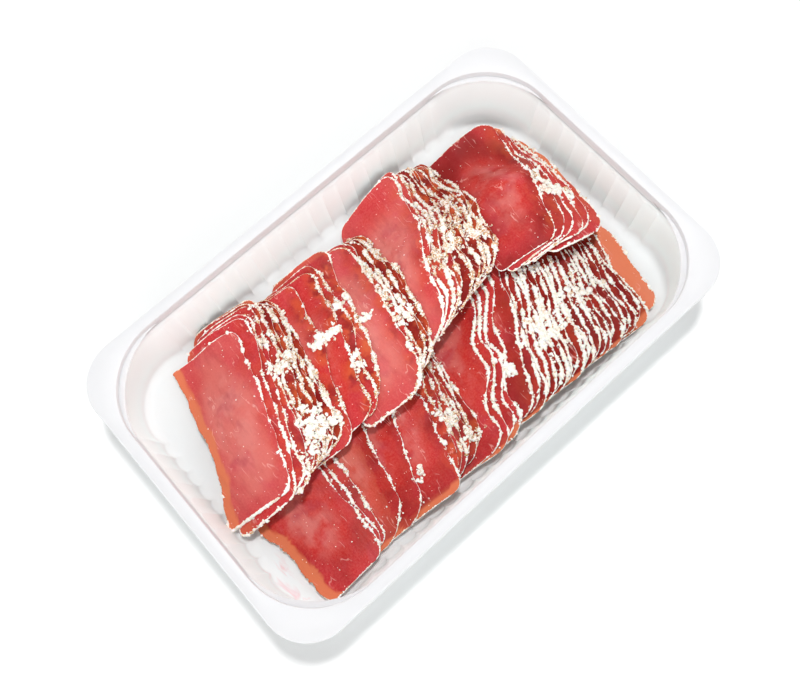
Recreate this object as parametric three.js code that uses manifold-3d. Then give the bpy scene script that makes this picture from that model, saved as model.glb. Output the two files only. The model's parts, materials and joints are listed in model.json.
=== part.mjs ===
// Cured pork loin in thin slices, shingled in two rows in an open white tray
// Millimetres, +Z up. The origin lies under the middle of the tray, X runs along its long side
// and Y from its near long wall to its far one.
import * as THREE from 'three';
import { mergeVertices } from 'three/addons/utils/BufferGeometryUtils.js';
import Module from 'manifold-3d';

const wasm = await Module();
wasm.setup();

// Driving dimensions of the tray
const TRAY_LENGTH = 262;
const TRAY_WIDTH = 166;
const TRAY_HEIGHT = 40;
const TRAY_CORNER = 22;
const WALL = 0.8;
const RIM_WIDTH = 6;
const RIM_LIP = 3.6;
const RIM_CHAMFER = 0.5;
const OPENING_CORNER = 36;
const LUG_CORNER = 42.5;
const LUG_TOP = 36.4;
const LUG_SLOPE = 2.6;
const LUG_LEDGE = 0.2;
const BAND_BOTTOM = 33.6;
const BAND_STEP = 0.5;
const FLOOR_LENGTH = 245;
const FLOOR_WIDTH = 146;
const FLOOR_CORNER = 27;
const FOOT_HEIGHT = 3.4;
const FLUTE_PITCH = 9;
const FLUTE_DEPTH = 1.3;
const TOE_REACH = 3.6;
const TOE_WALL = 0.4;
const LONG_FLUTES = 19;
const SHORT_FLUTES = 9;
const ARC_STEPS = 6;
const OVERCUT = 1;

// Driving dimensions of the slices
const SLICE_THICKNESS = 0.8;
const SLICE_WIDTH = 37;
const RIM_CORNER = 8;
const LEFT_CORNER = 4.5;
const GAP = 0.3;
const REST_GAP = 0.9;
const PITCH = SLICE_THICKNESS + GAP;
const END_FALL = 0.12;
const END_SHIFT = 1.3;
const UNEVEN = 0.9;
const SOFTEN = 6;

// Colours and finishes
const WHITE_PLASTIC = new THREE.MeshStandardMaterial({ color: 0xf2f1f0, roughness: 0.35, metalness: 0 });
const MEAT = new THREE.MeshStandardMaterial({ color: 0xb8262b, roughness: 0.4, metalness: 0 });

// The two rows, each as the groups in which its slices lie
// In a group, edge is where the raised right rim of its slices, from first to last, crosses the line
// y = middle, lean is how far that rim moves in x for each millimetre in y, near and far are where
// the slice ends, round is the radius of its near right corner, and pairs is how many of its layers
// are two slices lying face to face.
const LOWER_ROW = {
  name: 'lower',
  middle: -45,
  groups: [
    {
      slices: 1, edge: [-73.5], lean: [0],
      near: [-69], far: [14], round: [8], splay: 0.08,
    },
    {
      slices: 2, edge: [-71, -67], lean: [0.05, 0.1],
      near: [-65], far: [13, 15], round: [8],
    },
    {
      slices: 3, edge: [-52.5, -39, -21], lean: [0.28, 0.36, 0.21],
      near: [-66, -69], far: [15, 12], round: [16, 6],
    },
    {
      slices: 6, edge: [-16.5, -2], lean: [0.36, 0.21],
      near: [-66.5, -62], far: [14, 15], round: [12],
    },
    {
      slices: 4, edge: [11, 23.5], lean: [0.6],
      near: [-68.5, -67.5], far: [13, 14], round: [6],
    },
    {
      slices: 22, edge: [33.5, 101], lean: [0.56, 0.17],
      near: [-66, -68.5], far: [15, 13], round: [7], pairs: 10,
    },
    {
      slices: 1, edge: [109.5], lean: [0.12],
      near: [-68], far: [12], round: [6],
    },
  ],
};
const UPPER_ROW = {
  name: 'upper',
  middle: 22,
  groups: [
    {
      slices: 1, edge: [-71.5], lean: [0.34],
      near: [-20], far: [61], round: [7],
    },
    {
      slices: 10, edge: [-67, -43.5], lean: [0.4, 0.21],
      near: [-26, -15], far: [68, 64], round: [7, 12], pairs: 3,
    },
    {
      slices: 4, edge: [-34.5, -23, -18, -12.5], lean: [0.36, 0.3, 0.34],
      near: [-20, -15], far: [61, 65], round: [8, 12],
    },
    {
      slices: 5, edge: [2.5, 15], lean: [0.22, 0.18],
      near: [-23, -15], far: [60, 61], round: [12, 14],
    },
    {
      slices: 12, edge: [32, 66.5], lean: [0.46, 0.17],
      near: [-14, -5], far: [67, 65], round: [16, 12], pairs: 5,
    },
    {
      slices: 1, edge: [98], lean: [0.37],
      near: [-12], far: [60], round: [6],
    },
    {
      slices: 5, edge: [103, 115], lean: [0.3, 0.06],
      near: [-16, -21], far: [58, 47], round: [10],
    },
  ],
};

// Where the upper row comes down from the lower row to the floor
const OVERLAP_NEAR = -26;
const OVERLAP_FAR = 17;
const DRAPE_END = 50;
const DRAPE_END_RIGHT = 40;
const DRAPE_TURN = [75, 105];
const COVER_REACH = 9;
const COVER_GAP = 0.9;

// Spacing of the facets of a row's bent surface
const COLUMN = 12.5;
const ROW_LEFT = -126;
const COLUMNS = 21;
const CUTTER_HEIGHT = 200;
const LOWER_STATIONS = [-75, -28, 22];
const UPPER_STATIONS = [-30, 17, 31, 45, 60, 75];

// Small helpers
const mix = (a, b, t) => a + (b - a) * t;
const clamp = (value, low, high) => Math.min(Math.max(value, low), high);
const ease = (t) => t * t * (3 - 2 * t);

// An uneven wave round a full turn, different for every seed
function uneven(turn, seed) {
  return 0.6 * Math.sin(3 * turn + 1.7 * seed) + 0.4 * Math.sin(5 * turn - 2.3 * seed);
}

// The value at t, from 0 to 1, of a list of evenly spaced values
function spread(values, t) {
  const place = t * (values.length - 1);
  const index = Math.min(Math.floor(place), values.length - 2);
  return values.length > 1 ? mix(values[index], values[index + 1], place - index) : values[0];
}

// A closed mesh with shared vertices becomes a solid that can be joined and cut
function solidOf(geometry) {
  geometry.deleteAttribute('normal');
  geometry.deleteAttribute('uv');
  const merged = mergeVertices(geometry, 1e-4);
  const vertProperties = new Float32Array(merged.attributes.position.array);
  const triVerts = new Uint32Array(merged.index.array);
  return new wasm.Manifold(new wasm.Mesh({ numProp: 3, vertProperties, triVerts }));
}

function geometryOf(solid) {
  const mesh = solid.getMesh();
  const geometry = new THREE.BufferGeometry();
  geometry.setAttribute('position', new THREE.BufferAttribute(mesh.vertProperties, 3));
  geometry.setIndex(new THREE.BufferAttribute(mesh.triVerts, 1));
  geometry.computeVertexNormals();
  return geometry;
}

function namedMesh(name, solid, material) {
  const mesh = new THREE.Mesh(geometryOf(solid), material);
  mesh.name = name;
  return mesh;
}

// A closed solid through rings of equal count, the lowest first, with a flat end at both
function loft(rings) {
  const count = rings[0].length;
  const position = [];
  const index = [];
  for (const ring of rings) {
    for (const point of ring) {
      position.push(point.x, point.y, point.z);
    }
  }
  for (let level = 0; level < rings.length - 1; level += 1) {
    for (let i = 0; i < count; i += 1) {
      const a = level * count + i;
      const b = level * count + ((i + 1) % count);
      index.push(a, b, b + count, a, b + count, a + count);
    }
  }
  const top = (rings.length - 1) * count;
  for (const [a, b, c] of THREE.ShapeUtils.triangulateShape(rings[0], [])) {
    index.push(c, b, a);
  }
  for (const [a, b, c] of THREE.ShapeUtils.triangulateShape(rings[rings.length - 1], [])) {
    index.push(top + a, top + b, top + c);
  }
  const geometry = new THREE.BufferGeometry();
  geometry.setAttribute('position', new THREE.Float32BufferAttribute(position, 3));
  geometry.setIndex(index);
  return geometry;
}

// The tray's outline at one height, counter-clockwise
// Between its corners each side has flutes: a valley on the outline, then a bump that stands in.
function trayRing({ length, width, corner, z, bump = 0, fluted = false }) {
  const ring = [];
  const sides = [
    { turn: 0, reach: length / 2, run: width / 2, flutes: SHORT_FLUTES },
    { turn: 1, reach: width / 2, run: length / 2, flutes: LONG_FLUTES },
    { turn: 2, reach: length / 2, run: width / 2, flutes: SHORT_FLUTES },
    { turn: 3, reach: width / 2, run: length / 2, flutes: LONG_FLUTES },
  ];
  for (const { turn, reach, run, flutes } of sides) {
    const place = (out, along) => {
      const point = new THREE.Vector3(out, along, z);
      ring.push(point.applyAxisAngle(new THREE.Vector3(0, 0, 1), (turn * Math.PI) / 2));
    };
    const start = (-flutes * FLUTE_PITCH) / 2;
    for (let i = 0; fluted && i < flutes; i += 1) {
      place(reach, start + i * FLUTE_PITCH);
      place(reach - bump, start + (i + 0.5) * FLUTE_PITCH);
    }
    if (fluted) {
      place(reach, -start);
    }
    for (let i = 0; i <= ARC_STEPS; i += 1) {
      const angle = (i / ARC_STEPS) * (Math.PI / 2);
      place(reach - corner + corner * Math.cos(angle), run - corner + corner * Math.sin(angle));
    }
  }
  return ring;
}

// A rounded outline grown or shrunk all round by the same distance
function grown(size, by) {
  return {
    ...size,
    length: size.length + 2 * by,
    width: size.width + 2 * by,
    corner: size.corner + by,
  };
}

// Tray: a thin-walled cup with fluted walls, a smooth band under a flat rim, and a turned-down lip
function tray() {
  const rim = { length: TRAY_LENGTH, width: TRAY_WIDTH, corner: TRAY_CORNER };
  const opening = {
    length: TRAY_LENGTH - 2 * RIM_WIDTH,
    width: TRAY_WIDTH - 2 * RIM_WIDTH,
    corner: OPENING_CORNER,
  };
  const lug = { ...opening, corner: LUG_CORNER };
  const wallTop = grown(opening, -BAND_STEP);
  const foot = { length: FLOOR_LENGTH, width: FLOOR_WIDTH, corner: FLOOR_CORNER };
  const flutes = (size, z, bump) => trayRing({ ...size, z, bump, fluted: true });

  const rimPlate = solidOf(loft([
    trayRing({ ...rim, z: TRAY_HEIGHT - RIM_LIP }),
    trayRing({ ...rim, z: TRAY_HEIGHT - RIM_CHAMFER }),
    trayRing({ ...grown(rim, -RIM_CHAMFER), z: TRAY_HEIGHT }),
  ]));
  const underRim = solidOf(loft([
    trayRing({ ...grown(rim, -WALL), z: -OVERCUT }),
    trayRing({ ...grown(rim, -WALL), z: TRAY_HEIGHT - WALL }),
  ]));
  const bandOutside = solidOf(loft([
    trayRing({ ...grown(opening, WALL), z: BAND_BOTTOM - WALL }),
    trayRing({ ...grown(opening, WALL), z: TRAY_HEIGHT - WALL / 2 }),
  ]));
  const cupOutside = solidOf(loft([
    flutes(grown(foot, WALL - TOE_REACH), 0, TOE_REACH / 3),
    flutes(grown(foot, WALL), FOOT_HEIGHT - WALL, FLUTE_DEPTH),
    flutes(grown(wallTop, WALL), BAND_BOTTOM, FLUTE_DEPTH / 2),
  ]));
  const bandInside = solidOf(loft([
    trayRing({ ...opening, z: BAND_BOTTOM }),
    trayRing({ ...opening, z: LUG_TOP - LUG_SLOPE }),
    trayRing({ ...lug, z: LUG_TOP }),
    trayRing({ ...opening, z: LUG_TOP + LUG_LEDGE }),
    trayRing({ ...opening, z: TRAY_HEIGHT + OVERCUT }),
  ]));
  const cupInside = solidOf(loft([
    flutes(grown(foot, TOE_WALL - TOE_REACH), WALL, TOE_REACH / 3),
    flutes(foot, FOOT_HEIGHT, FLUTE_DEPTH),
    flutes(wallTop, BAND_BOTTOM + OVERCUT, FLUTE_DEPTH / 2),
  ]));
  const shell = rimPlate.subtract(underRim).add(bandOutside).add(cupOutside);
  return shell.subtract(bandInside).subtract(cupInside);
}

// Every slice of a row in order, with the values that its group gives it
function slicesOf(row) {
  const slices = [];
  for (const group of row.groups) {
    for (let i = 0; i < group.slices; i += 1) {
      const t = group.slices > 1 ? i / (group.slices - 1) : 0;
      const order = slices.length;
      slices.push({
        order,
        edge: spread(group.edge, t),
        lean: spread(group.lean, t),
        near: spread(group.near, t) + END_SHIFT * Math.sin(3.7 * order),
        far: spread(group.far, t) + END_SHIFT * Math.sin(5.1 * order + 1),
        round: spread(group.round, t),
        splay: group.splay ?? 0,
        paired: i < 2 * (group.pairs ?? 0),
      });
    }
  }
  return slices;
}

// The solids of a row: its slices one by one, or two as one double layer on the lower one's place
function layersOf(slices) {
  const layers = [];
  for (let k = 0; k < slices.length; k += 1) {
    const slice = slices[k];
    if (!slice.paired) {
      layers.push({ ...slice, thickness: SLICE_THICKNESS });
      continue;
    }
    const under = slices[k + 1];
    layers.push({
      ...slice,
      order: under.order,
      edge: mix(slice.edge, under.edge, 0.5),
      lean: mix(slice.lean, under.lean, 0.5),
      thickness: SLICE_THICKNESS + PITCH,
    });
    k += 1;
  }
  return layers;
}

const rimAt = (row, slice, y) => slice.edge + slice.lean * (y - row.middle);

// How many slices have begun to the left of a place, as a smooth number
// A slice lies on all that began after it, so this also says how high each slice is there.
function begun(row, slices, x, y) {
  const starts = slices.map((slice) => rimAt(row, slice, y) - SLICE_WIDTH);
  const last = starts.length - 1;
  const samples = [-1, -0.5, 0, 0.5, 1];
  let sum = 0;
  for (const sample of samples) {
    const at = clamp(x + sample * SOFTEN, starts[0], starts[last]);
    const next = Math.max(1, starts.findIndex((start) => start >= at));
    const step = starts[next] - starts[next - 1];
    sum += next - 1 + (at - starts[next - 1]) / step;
  }
  return sum / samples.length;
}

// A slice's outline seen from above: a rounded rectangle, sheared by its lean and a little uneven
function outline(row, slice) {
  const points = [];
  const length = slice.far - slice.near;
  const corners = [
    { s: 1, t: 0, from: -90, corner: slice.round },
    { s: 1, t: 1, from: 0, corner: RIM_CORNER },
    { s: 0, t: 1, from: 90, corner: LEFT_CORNER },
    { s: 0, t: 0, from: 180, corner: LEFT_CORNER },
  ];
  const place = (across, up) => {
    const turn = Math.atan2(up - length / 2, across - SLICE_WIDTH / 2);
    const grow = UNEVEN * uneven(turn, slice.order);
    const y = slice.near + up - END_FALL * (across - SLICE_WIDTH / 2);
    const splay = slice.splay * (y - slice.near - length / 3) * (1 - across / SLICE_WIDTH);
    const x = rimAt(row, slice, y) - SLICE_WIDTH + across - splay;
    points.push(new THREE.Vector2(x + grow * Math.cos(turn), y + grow * Math.sin(turn)));
  };
  for (const { s, t, from, corner } of corners) {
    const acrossCentre = mix(corner, SLICE_WIDTH - corner, s);
    const upCentre = mix(corner, length - corner, t);
    for (const angle of [0, 30, 60, 90]) {
      const turn = THREE.MathUtils.degToRad(from + angle);
      place(acrossCentre + corner * Math.cos(turn), upCentre + corner * Math.sin(turn));
    }
    if (s !== t) {
      place(s * SLICE_WIDTH, length / 2);
    }
  }
  return points;
}

// A row's bent sheet, as thick as asked, over the whole row
// All slices of the row are cut from it, so neighbours fit each other with an even gap.
function bentSheet(stations, surface, thickness) {
  const rows = stations.length;
  const position = [];
  const index = [];
  for (const rise of [0, thickness]) {
    for (let i = 0; i < COLUMNS; i += 1) {
      for (const y of stations) {
        const x = ROW_LEFT + i * COLUMN;
        position.push(x, y, surface(x, y) + rise);
      }
    }
  }
  const upper = COLUMNS * rows;
  const face = (a, b, c, d) => index.push(a, b, c, a, c, d);
  for (let i = 0; i < COLUMNS - 1; i += 1) {
    for (let j = 0; j < rows - 1; j += 1) {
      const a = i * rows + j;
      face(upper + a, upper + a + rows, upper + a + rows + 1, upper + a + 1);
      index.push(a, a + rows + 1, a + rows, a, a + 1, a + rows + 1);
    }
    const near = i * rows;
    const far = near + rows - 1;
    face(near, near + rows, upper + near + rows, upper + near);
    face(far + rows, far, upper + far, upper + far + rows);
  }
  for (let j = 0; j < rows - 1; j += 1) {
    const right = (COLUMNS - 1) * rows + j;
    face(j + 1, j, upper + j, upper + j + 1);
    face(right, right + 1, upper + right + 1, upper + right);
  }
  const geometry = new THREE.BufferGeometry();
  geometry.setAttribute('position', new THREE.Float32BufferAttribute(position, 3));
  geometry.setIndex(index);
  return solidOf(geometry);
}

// The height at which a row's layers clear the surface that they rest on, by trying every outline
function restHeight(row, slices, layers) {
  let lowest = 0;
  for (const layer of layers) {
    for (const point of outline(row, layer)) {
      lowest = Math.min(lowest, begun(row, slices, point.x, point.y) - layer.order);
    }
  }
  return REST_GAP - PITCH * lowest;
}

// The slices of one row, each cut from the row's sheet by its outline and set at its own height
function rowOfSlices(row, stations, support) {
  const slices = slicesOf(row);
  const layers = layersOf(slices);
  const rest = restHeight(row, slices, layers);
  const surface = (x, y) => support(x, y) + rest + PITCH * begun(row, slices, x, y);
  const meshes = layers.map((layer, index) => {
    const shape = new THREE.Shape(outline(row, layer));
    const cutter = solidOf(new THREE.ExtrudeGeometry(shape, { depth: CUTTER_HEIGHT, bevelEnabled: false }));
    const solid = bentSheet(stations, surface, layer.thickness).intersect(cutter);
    const number = String(index + 1).padStart(2, '0');
    const mesh = namedMesh(`slice_${row.name}_${number}`, solid, MEAT);
    mesh.position.z = -PITCH * layer.order;
    return mesh;
  });
  return { meshes, slices, surface };
}

// The top of the lower row under the upper one, bridged over and smoothed along x
function coverOf(row, { slices, surface }) {
  const topAt = (x, y) => {
    const over = slices.find((slice) => {
      const rim = rimAt(row, slice, y);
      return rim > x && rim - SLICE_WIDTH < x;
    });
    return over ? surface(x, y) - PITCH * over.order + SLICE_THICKNESS : 0;
  };
  const highest = (x) => {
    let top = 0;
    for (let dx = -COVER_REACH; dx <= COVER_REACH; dx += COVER_REACH / 3) {
      for (const y of [OVERLAP_NEAR, 0, OVERLAP_FAR]) {
        top = Math.max(top, topAt(x + dx, y));
      }
    }
    return top;
  };
  return (x) => {
    const samples = [-1, -0.5, 0, 0.5, 1].map((step) => highest(x + step * COVER_REACH));
    return samples.reduce((sum, value) => sum + value) / samples.length + COVER_GAP;
  };
}

const pack = new THREE.Group();
pack.add(namedMesh('tray', tray(), WHITE_PLASTIC));

const lower = rowOfSlices(LOWER_ROW, LOWER_STATIONS, () => WALL);
pack.add(...lower.meshes);

const cover = coverOf(LOWER_ROW, lower);
const drape = (x, y) => {
  const right = ease(clamp((x - DRAPE_TURN[0]) / (DRAPE_TURN[1] - DRAPE_TURN[0]), 0, 1));
  const end = mix(DRAPE_END, DRAPE_END_RIGHT, right);
  const down = ease(clamp((y - OVERLAP_FAR) / (end - OVERLAP_FAR), 0, 1));
  return mix(cover(x), WALL, down);
};
const upper = rowOfSlices(UPPER_ROW, UPPER_STATIONS, drape);
pack.add(...upper.meshes);

export default pack;
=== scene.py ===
# %% [markdown]
# # Sliced cured pork loin in a white tray
# The real object is a thin white tray with two rows of cured pork loin. The slices are under a
# millimetre thick, lie over each other like roof tiles, and carry a pale crumbly coat round their
# rims. The measured solids come first: every piece below is made in the same place as the solid
# that it stands for, so nothing is fitted by eye afterwards.

# %% Load the measured solids
import json
import math
import bmesh
import bpy
import numpy as np
from mathutils import Matrix, Vector, noise

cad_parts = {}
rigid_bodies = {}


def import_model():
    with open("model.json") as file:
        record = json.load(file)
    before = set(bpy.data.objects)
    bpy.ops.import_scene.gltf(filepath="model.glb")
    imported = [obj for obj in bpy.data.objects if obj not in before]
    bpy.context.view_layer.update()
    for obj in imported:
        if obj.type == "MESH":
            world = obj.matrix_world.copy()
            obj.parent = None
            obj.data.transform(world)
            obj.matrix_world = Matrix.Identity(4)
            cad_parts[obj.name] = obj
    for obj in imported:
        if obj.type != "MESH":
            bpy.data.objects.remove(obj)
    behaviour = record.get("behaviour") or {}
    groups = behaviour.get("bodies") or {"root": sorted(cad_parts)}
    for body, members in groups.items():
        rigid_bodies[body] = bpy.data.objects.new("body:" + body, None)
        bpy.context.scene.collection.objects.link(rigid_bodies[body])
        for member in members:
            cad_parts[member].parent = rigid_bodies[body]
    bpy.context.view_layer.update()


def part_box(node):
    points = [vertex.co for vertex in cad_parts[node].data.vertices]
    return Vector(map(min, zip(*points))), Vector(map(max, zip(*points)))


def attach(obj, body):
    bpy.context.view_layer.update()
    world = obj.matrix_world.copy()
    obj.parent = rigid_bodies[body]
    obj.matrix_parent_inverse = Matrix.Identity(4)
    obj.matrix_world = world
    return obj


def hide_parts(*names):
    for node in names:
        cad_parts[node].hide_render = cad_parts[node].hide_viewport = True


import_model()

MM = 0.001
chance = np.random.default_rng(7)

# %% [markdown]
# ## Camera
# A photograph's viewpoint can be worked out from a shape of known proportions, here the tray's
# rectangular rim. The camera hangs 0.42 m above the table, beyond one corner of the pack, and is
# rolled so that the tray's long side climbs to the right. A camera looks along its own -Z, so its
# axes go into a matrix as columns: right, up and backwards.

# %% Place the camera
CAMERA_PLACE = Vector((-0.0690, -0.0999, 0.4248))
CAMERA_RIGHT = Vector((0.7459, -0.6646, -0.0437)).normalized()
CAMERA_UP = Vector((0.6500, 0.7120, 0.2654)).normalized()
SENSOR_WIDTH_MM, LENS_MM = 36, 40.05
NEAREST_SEEN = 0.01

camera_data = bpy.data.cameras.new("viewpoint")
camera_data.sensor_width = SENSOR_WIDTH_MM
camera_data.lens = LENS_MM
camera_data.clip_start = NEAREST_SEEN
camera = bpy.data.objects.new("viewpoint", camera_data)
bpy.context.scene.collection.objects.link(camera)
backwards = CAMERA_RIGHT.cross(CAMERA_UP).normalized()
axes = Matrix((CAMERA_RIGHT, backwards.cross(CAMERA_RIGHT), backwards)).transposed()
camera.matrix_world = Matrix.Translation(CAMERA_PLACE) @ axes.to_4x4()
bpy.context.scene.camera = camera
print("the camera looks along", [round(v, 3) for v in -backwards])

# %% [markdown]
# ## From points to a piece
# All shapes here are worked out in millimetres as arrays of points, because a slice or a crumb is
# easier to describe by a formula than by pushing vertices about. One helper turns points and
# faces into a Blender mesh in metres, stores extra values on the vertices for the materials to
# read, and lets the piece ride with the pack.

# %% Helper that makes a piece
def make_piece(name, points, faces, material, marks=None, solids=()):
    """A Blender object from points in millimetres, which may stand for some of the solids."""
    mesh = bpy.data.meshes.new(name)
    mesh.from_pydata((np.asarray(points) * MM).tolist(), [], faces)
    mesh.shade_smooth()
    mesh.materials.append(material)
    for mark, values in (marks or {}).items():
        attribute = mesh.attributes.new(mark, "FLOAT", "POINT")
        attribute.data.foreach_set("value", np.asarray(values, dtype=np.float32))
    piece = bpy.data.objects.new(name, mesh)
    bpy.context.scene.collection.objects.link(piece)
    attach(piece, "root")
    if solids:
        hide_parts(*solids)
    return piece

# %% [markdown]
# ## Materials from nodes
# A procedural material is a small network. Writing it by hand repeats the same lines, so this
# helper adds a node, sets its plain inputs and joins the inputs that come from other nodes.

# %% Helpers for material networks
def new_material(name, **shader_values):
    """A material whose Principled shader starts with these values, and its network."""
    material = bpy.data.materials.new(name)
    material.use_nodes = True
    shader = material.node_tree.nodes["Principled BSDF"]
    for socket, value in shader_values.items():
        shader.inputs[socket.replace("_", " ")].default_value = value
    return material.node_tree, shader


def add(tree, kind, inputs=None, **settings):
    """Add a node, join what comes from other nodes to its inputs and set the plain values."""
    node = tree.nodes.new(kind)
    for setting, value in settings.items():
        setattr(node, setting, value)
    for socket, value in (inputs or {}).items():
        if isinstance(value, bpy.types.NodeSocket):
            tree.links.new(value, node.inputs[socket])
        else:
            node.inputs[socket].default_value = value
    return node


# %% [markdown]
# ## Sums, noise and colours in a network
# Most of a material is the same few steps over and over: ease one value into another range,
# multiply two masks, read a noise of some size, and lay a colour over the rest. Each step gets a
# short name here, so that a material below reads like a recipe.

# %% Helpers for values and colours
def between(tree, value, low, high, to_low=0.0, to_high=1.0):
    """A value eased from one range into another and held at both ends."""
    ranges = {"Value": value, "From Min": low, "From Max": high,
              "To Min": to_low, "To Max": to_high}
    return add(tree, "ShaderNodeMapRange", ranges, interpolation_type="SMOOTHSTEP").outputs[0]


def reckon(tree, operation, *values):
    return add(tree, "ShaderNodeMath", dict(enumerate(values)), operation=operation).outputs[0]


def times(tree, first, second):
    return reckon(tree, "MULTIPLY", first, second)


def plus(tree, first, second):
    return reckon(tree, "ADD", first, second)


def grain(tree, place, size_mm, detail=3.0, rough=0.5, warp=0.0):
    """Noise whose clouds are about this many millimetres across."""
    inputs = {"Vector": place, "Scale": 1 / (size_mm * MM), "Detail": detail,
              "Roughness": rough, "Distortion": warp}
    return add(tree, "ShaderNodeTexNoise", inputs).outputs["Fac"]


def blend(tree, share, first, second):
    colours = add(tree, "ShaderNodeMix", {0: share, 6: first, 7: second}, data_type="RGBA")
    return colours.outputs[2]


def screen_colour(red, green, blue):
    """A colour as a screen shows it, from 0 to 255, turned into the linear light a shader wants."""
    linear = [((v / 255 + 0.055) / 1.055) ** 2.4 if v > 10 else v / 3294.6
              for v in (red, green, blue)]
    return (*linear, 1.0)


def paint(tree, share, colour, *over):
    """Lay a screen colour over another colour, by a share from 0 to 1."""
    return blend(tree, share, colour, screen_colour(*over))


print("screen grey 128 in linear light:", round(screen_colour(128, 128, 128)[0], 3))

# %% [markdown]
# ## White plastic
# Thermoformed food trays are milky: light goes a little way into the wall and comes out softened,
# and the surface has a satin gloss. A Principled shader does this with some subsurface light and
# a middling roughness. Real plastic is never one even gloss, so a faint noise moves the
# roughness. Below the rim the tray is painted lighter than the rim: painted light, for the light
# that bounces about inside. Its walls are also painted a little cyan, which cancels the pink light
# that the meat throws on them. The floor at its low left edge is streaked pale pink.

# %% White plastic material
PINK_STREAK_X = (-0.116, -0.1105)
PINK_STREAK_Y = (-0.066, -0.012)
PINK_STREAK_FADE = 0.03
FLOOR_BELOW = (0.012, 0.003)
INSIDE_BELOW = (0.037, 0.03)

tree, shader = new_material("milky_plastic", Roughness=0.3, IOR=1.49, Subsurface_Weight=0.45,
                            Subsurface_Scale=0.003, Specular_IOR_Level=0.25)
shader.inputs["Subsurface Radius"].default_value = (1.0, 0.95, 0.9)
place = add(tree, "ShaderNodeTexCoord").outputs["Object"]
side = add(tree, "ShaderNodeSeparateXYZ", {0: place}).outputs
cloud = grain(tree, place, 30, detail=2)
rim_white = blend(tree, cloud, screen_colour(207, 207, 209), screen_colour(210, 210, 212))
on_floor = between(tree, side["Z"], *FLOOR_BELOW)
# Painted light: below the rim the tray is painted lighter, for the light that bounces about inside,
# and its walls a little cyan, against the pink light that the meat throws on them.
inside_white_painted_light = blend(tree, on_floor, screen_colour(239, 251, 250), screen_colour(238, 240, 240))
white_with_painted_inside = blend(tree, between(tree, side["Z"], *INSIDE_BELOW), rim_white, inside_white_painted_light)

at_left = between(tree, side["X"], PINK_STREAK_X[1], PINK_STREAK_X[0])
at_near = between(tree, side["Y"], PINK_STREAK_Y[1], PINK_STREAK_Y[0] + PINK_STREAK_FADE)
drawn_out = add(tree, "ShaderNodeMapping", {"Vector": place, "Scale": (1.0, 0.25, 1.0)}).outputs[0]
streaks = between(tree, grain(tree, drawn_out, 4, detail=4, warp=0.8), 0.5, 0.75)
# The floor along the foot of the low left wall is streaked pale pink, in strokes drawn out along
# the wall.
pink_streak_mask = times(tree, times(tree, at_left, at_near), times(tree, on_floor, streaks))
pink_streaked_white = paint(tree, times(tree, pink_streak_mask, 0.6), white_with_painted_inside, 238, 170, 178)
tree.links.new(pink_streaked_white, shader.inputs["Base Color"])
tree.links.new(between(tree, cloud, 0.3, 0.7, 0.4, 0.5), shader.inputs["Roughness"])
MILKY_PLASTIC = bpy.data.materials["milky_plastic"]
print("material:", MILKY_PLASTIC.name, len(tree.nodes), "nodes")

# %% [markdown]
# ## Tray outline at one height
# The tray is a stack of closed outlines, one above the other, so one function draws an outline at
# any height. Its walls have upright flutes, which make thin plastic stiff: wide round valleys
# with a narrow ridge between them. Every outline has the same number of points, and so two
# neighbours in the stack can be joined by four-sided faces.

# %% Draw the tray outline
TRAY_LENGTH, TRAY_WIDTH, TRAY_HEIGHT = (
    (high - low) / MM for low, high in zip(*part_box("tray")))
FLUTE_PITCH = 9
LONG_FLUTES, SHORT_FLUTES = 19, 9
FLUTE_STEPS = 10
ARC_STEPS = 14


def ridge(phase):
    """1 on the narrow ridge between two flutes and 0 across the wide round valley."""
    return 1 - abs(math.sin(math.pi * phase)) ** 0.6


def tray_ring(length, width, corner, z, bump=0.0):
    """One closed outline of the tray, whose ridges stand in by `bump`."""
    ring = []
    sides = [(length, width, SHORT_FLUTES), (width, length, LONG_FLUTES)] * 2
    for turn, (across, run, flutes) in enumerate(sides):
        rotate = Matrix.Rotation(turn * math.pi / 2, 2)
        start = -flutes * FLUTE_PITCH / 2
        spots = []
        for step in range(flutes * FLUTE_STEPS + 1):
            phase = step / FLUTE_STEPS
            spots.append((across / 2 - bump * ridge(phase), start + phase * FLUTE_PITCH))
        for step in range(ARC_STEPS + 1):
            angle = step / ARC_STEPS * math.pi / 2
            spots.append((across / 2 - corner + corner * math.cos(angle),
                          run / 2 - corner + corner * math.sin(angle)))
        ring += [(*(rotate @ Vector(spot)), z) for spot in spots]
    return ring


print("tray in mm:", round(TRAY_LENGTH), round(TRAY_WIDTH), round(TRAY_HEIGHT))

# %% [markdown]
# ## Tray profile
# Going up the inside, over the rim and down the outside gives one closed skin with a real wall
# thickness. That looks better than a bare sheet of faces, because the lip catches light, and it
# can be made for real. Small steps at the foot and under the rim stand for the rounded creases
# of plastic that was sucked into a mould.

# %% List the outlines of the tray
WALL = 0.8
RIM_WIDTH, RIM_LIP, RIM_CORNER_RADIUS = 6, 3.6, 22
OPENING_CORNER, LUG_CORNER = 36, 42.5
LUG_TOP, LUG_SLOPE = 36.4, 2.6
BAND_BOTTOM = 33.6
FLOOR_LENGTH, FLOOR_WIDTH, FLOOR_CORNER = 245, 146, 27
FOOT_HEIGHT, FLUTE_DEPTH, TOE_REACH = 3.4, 1.3, 3.6


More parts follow.
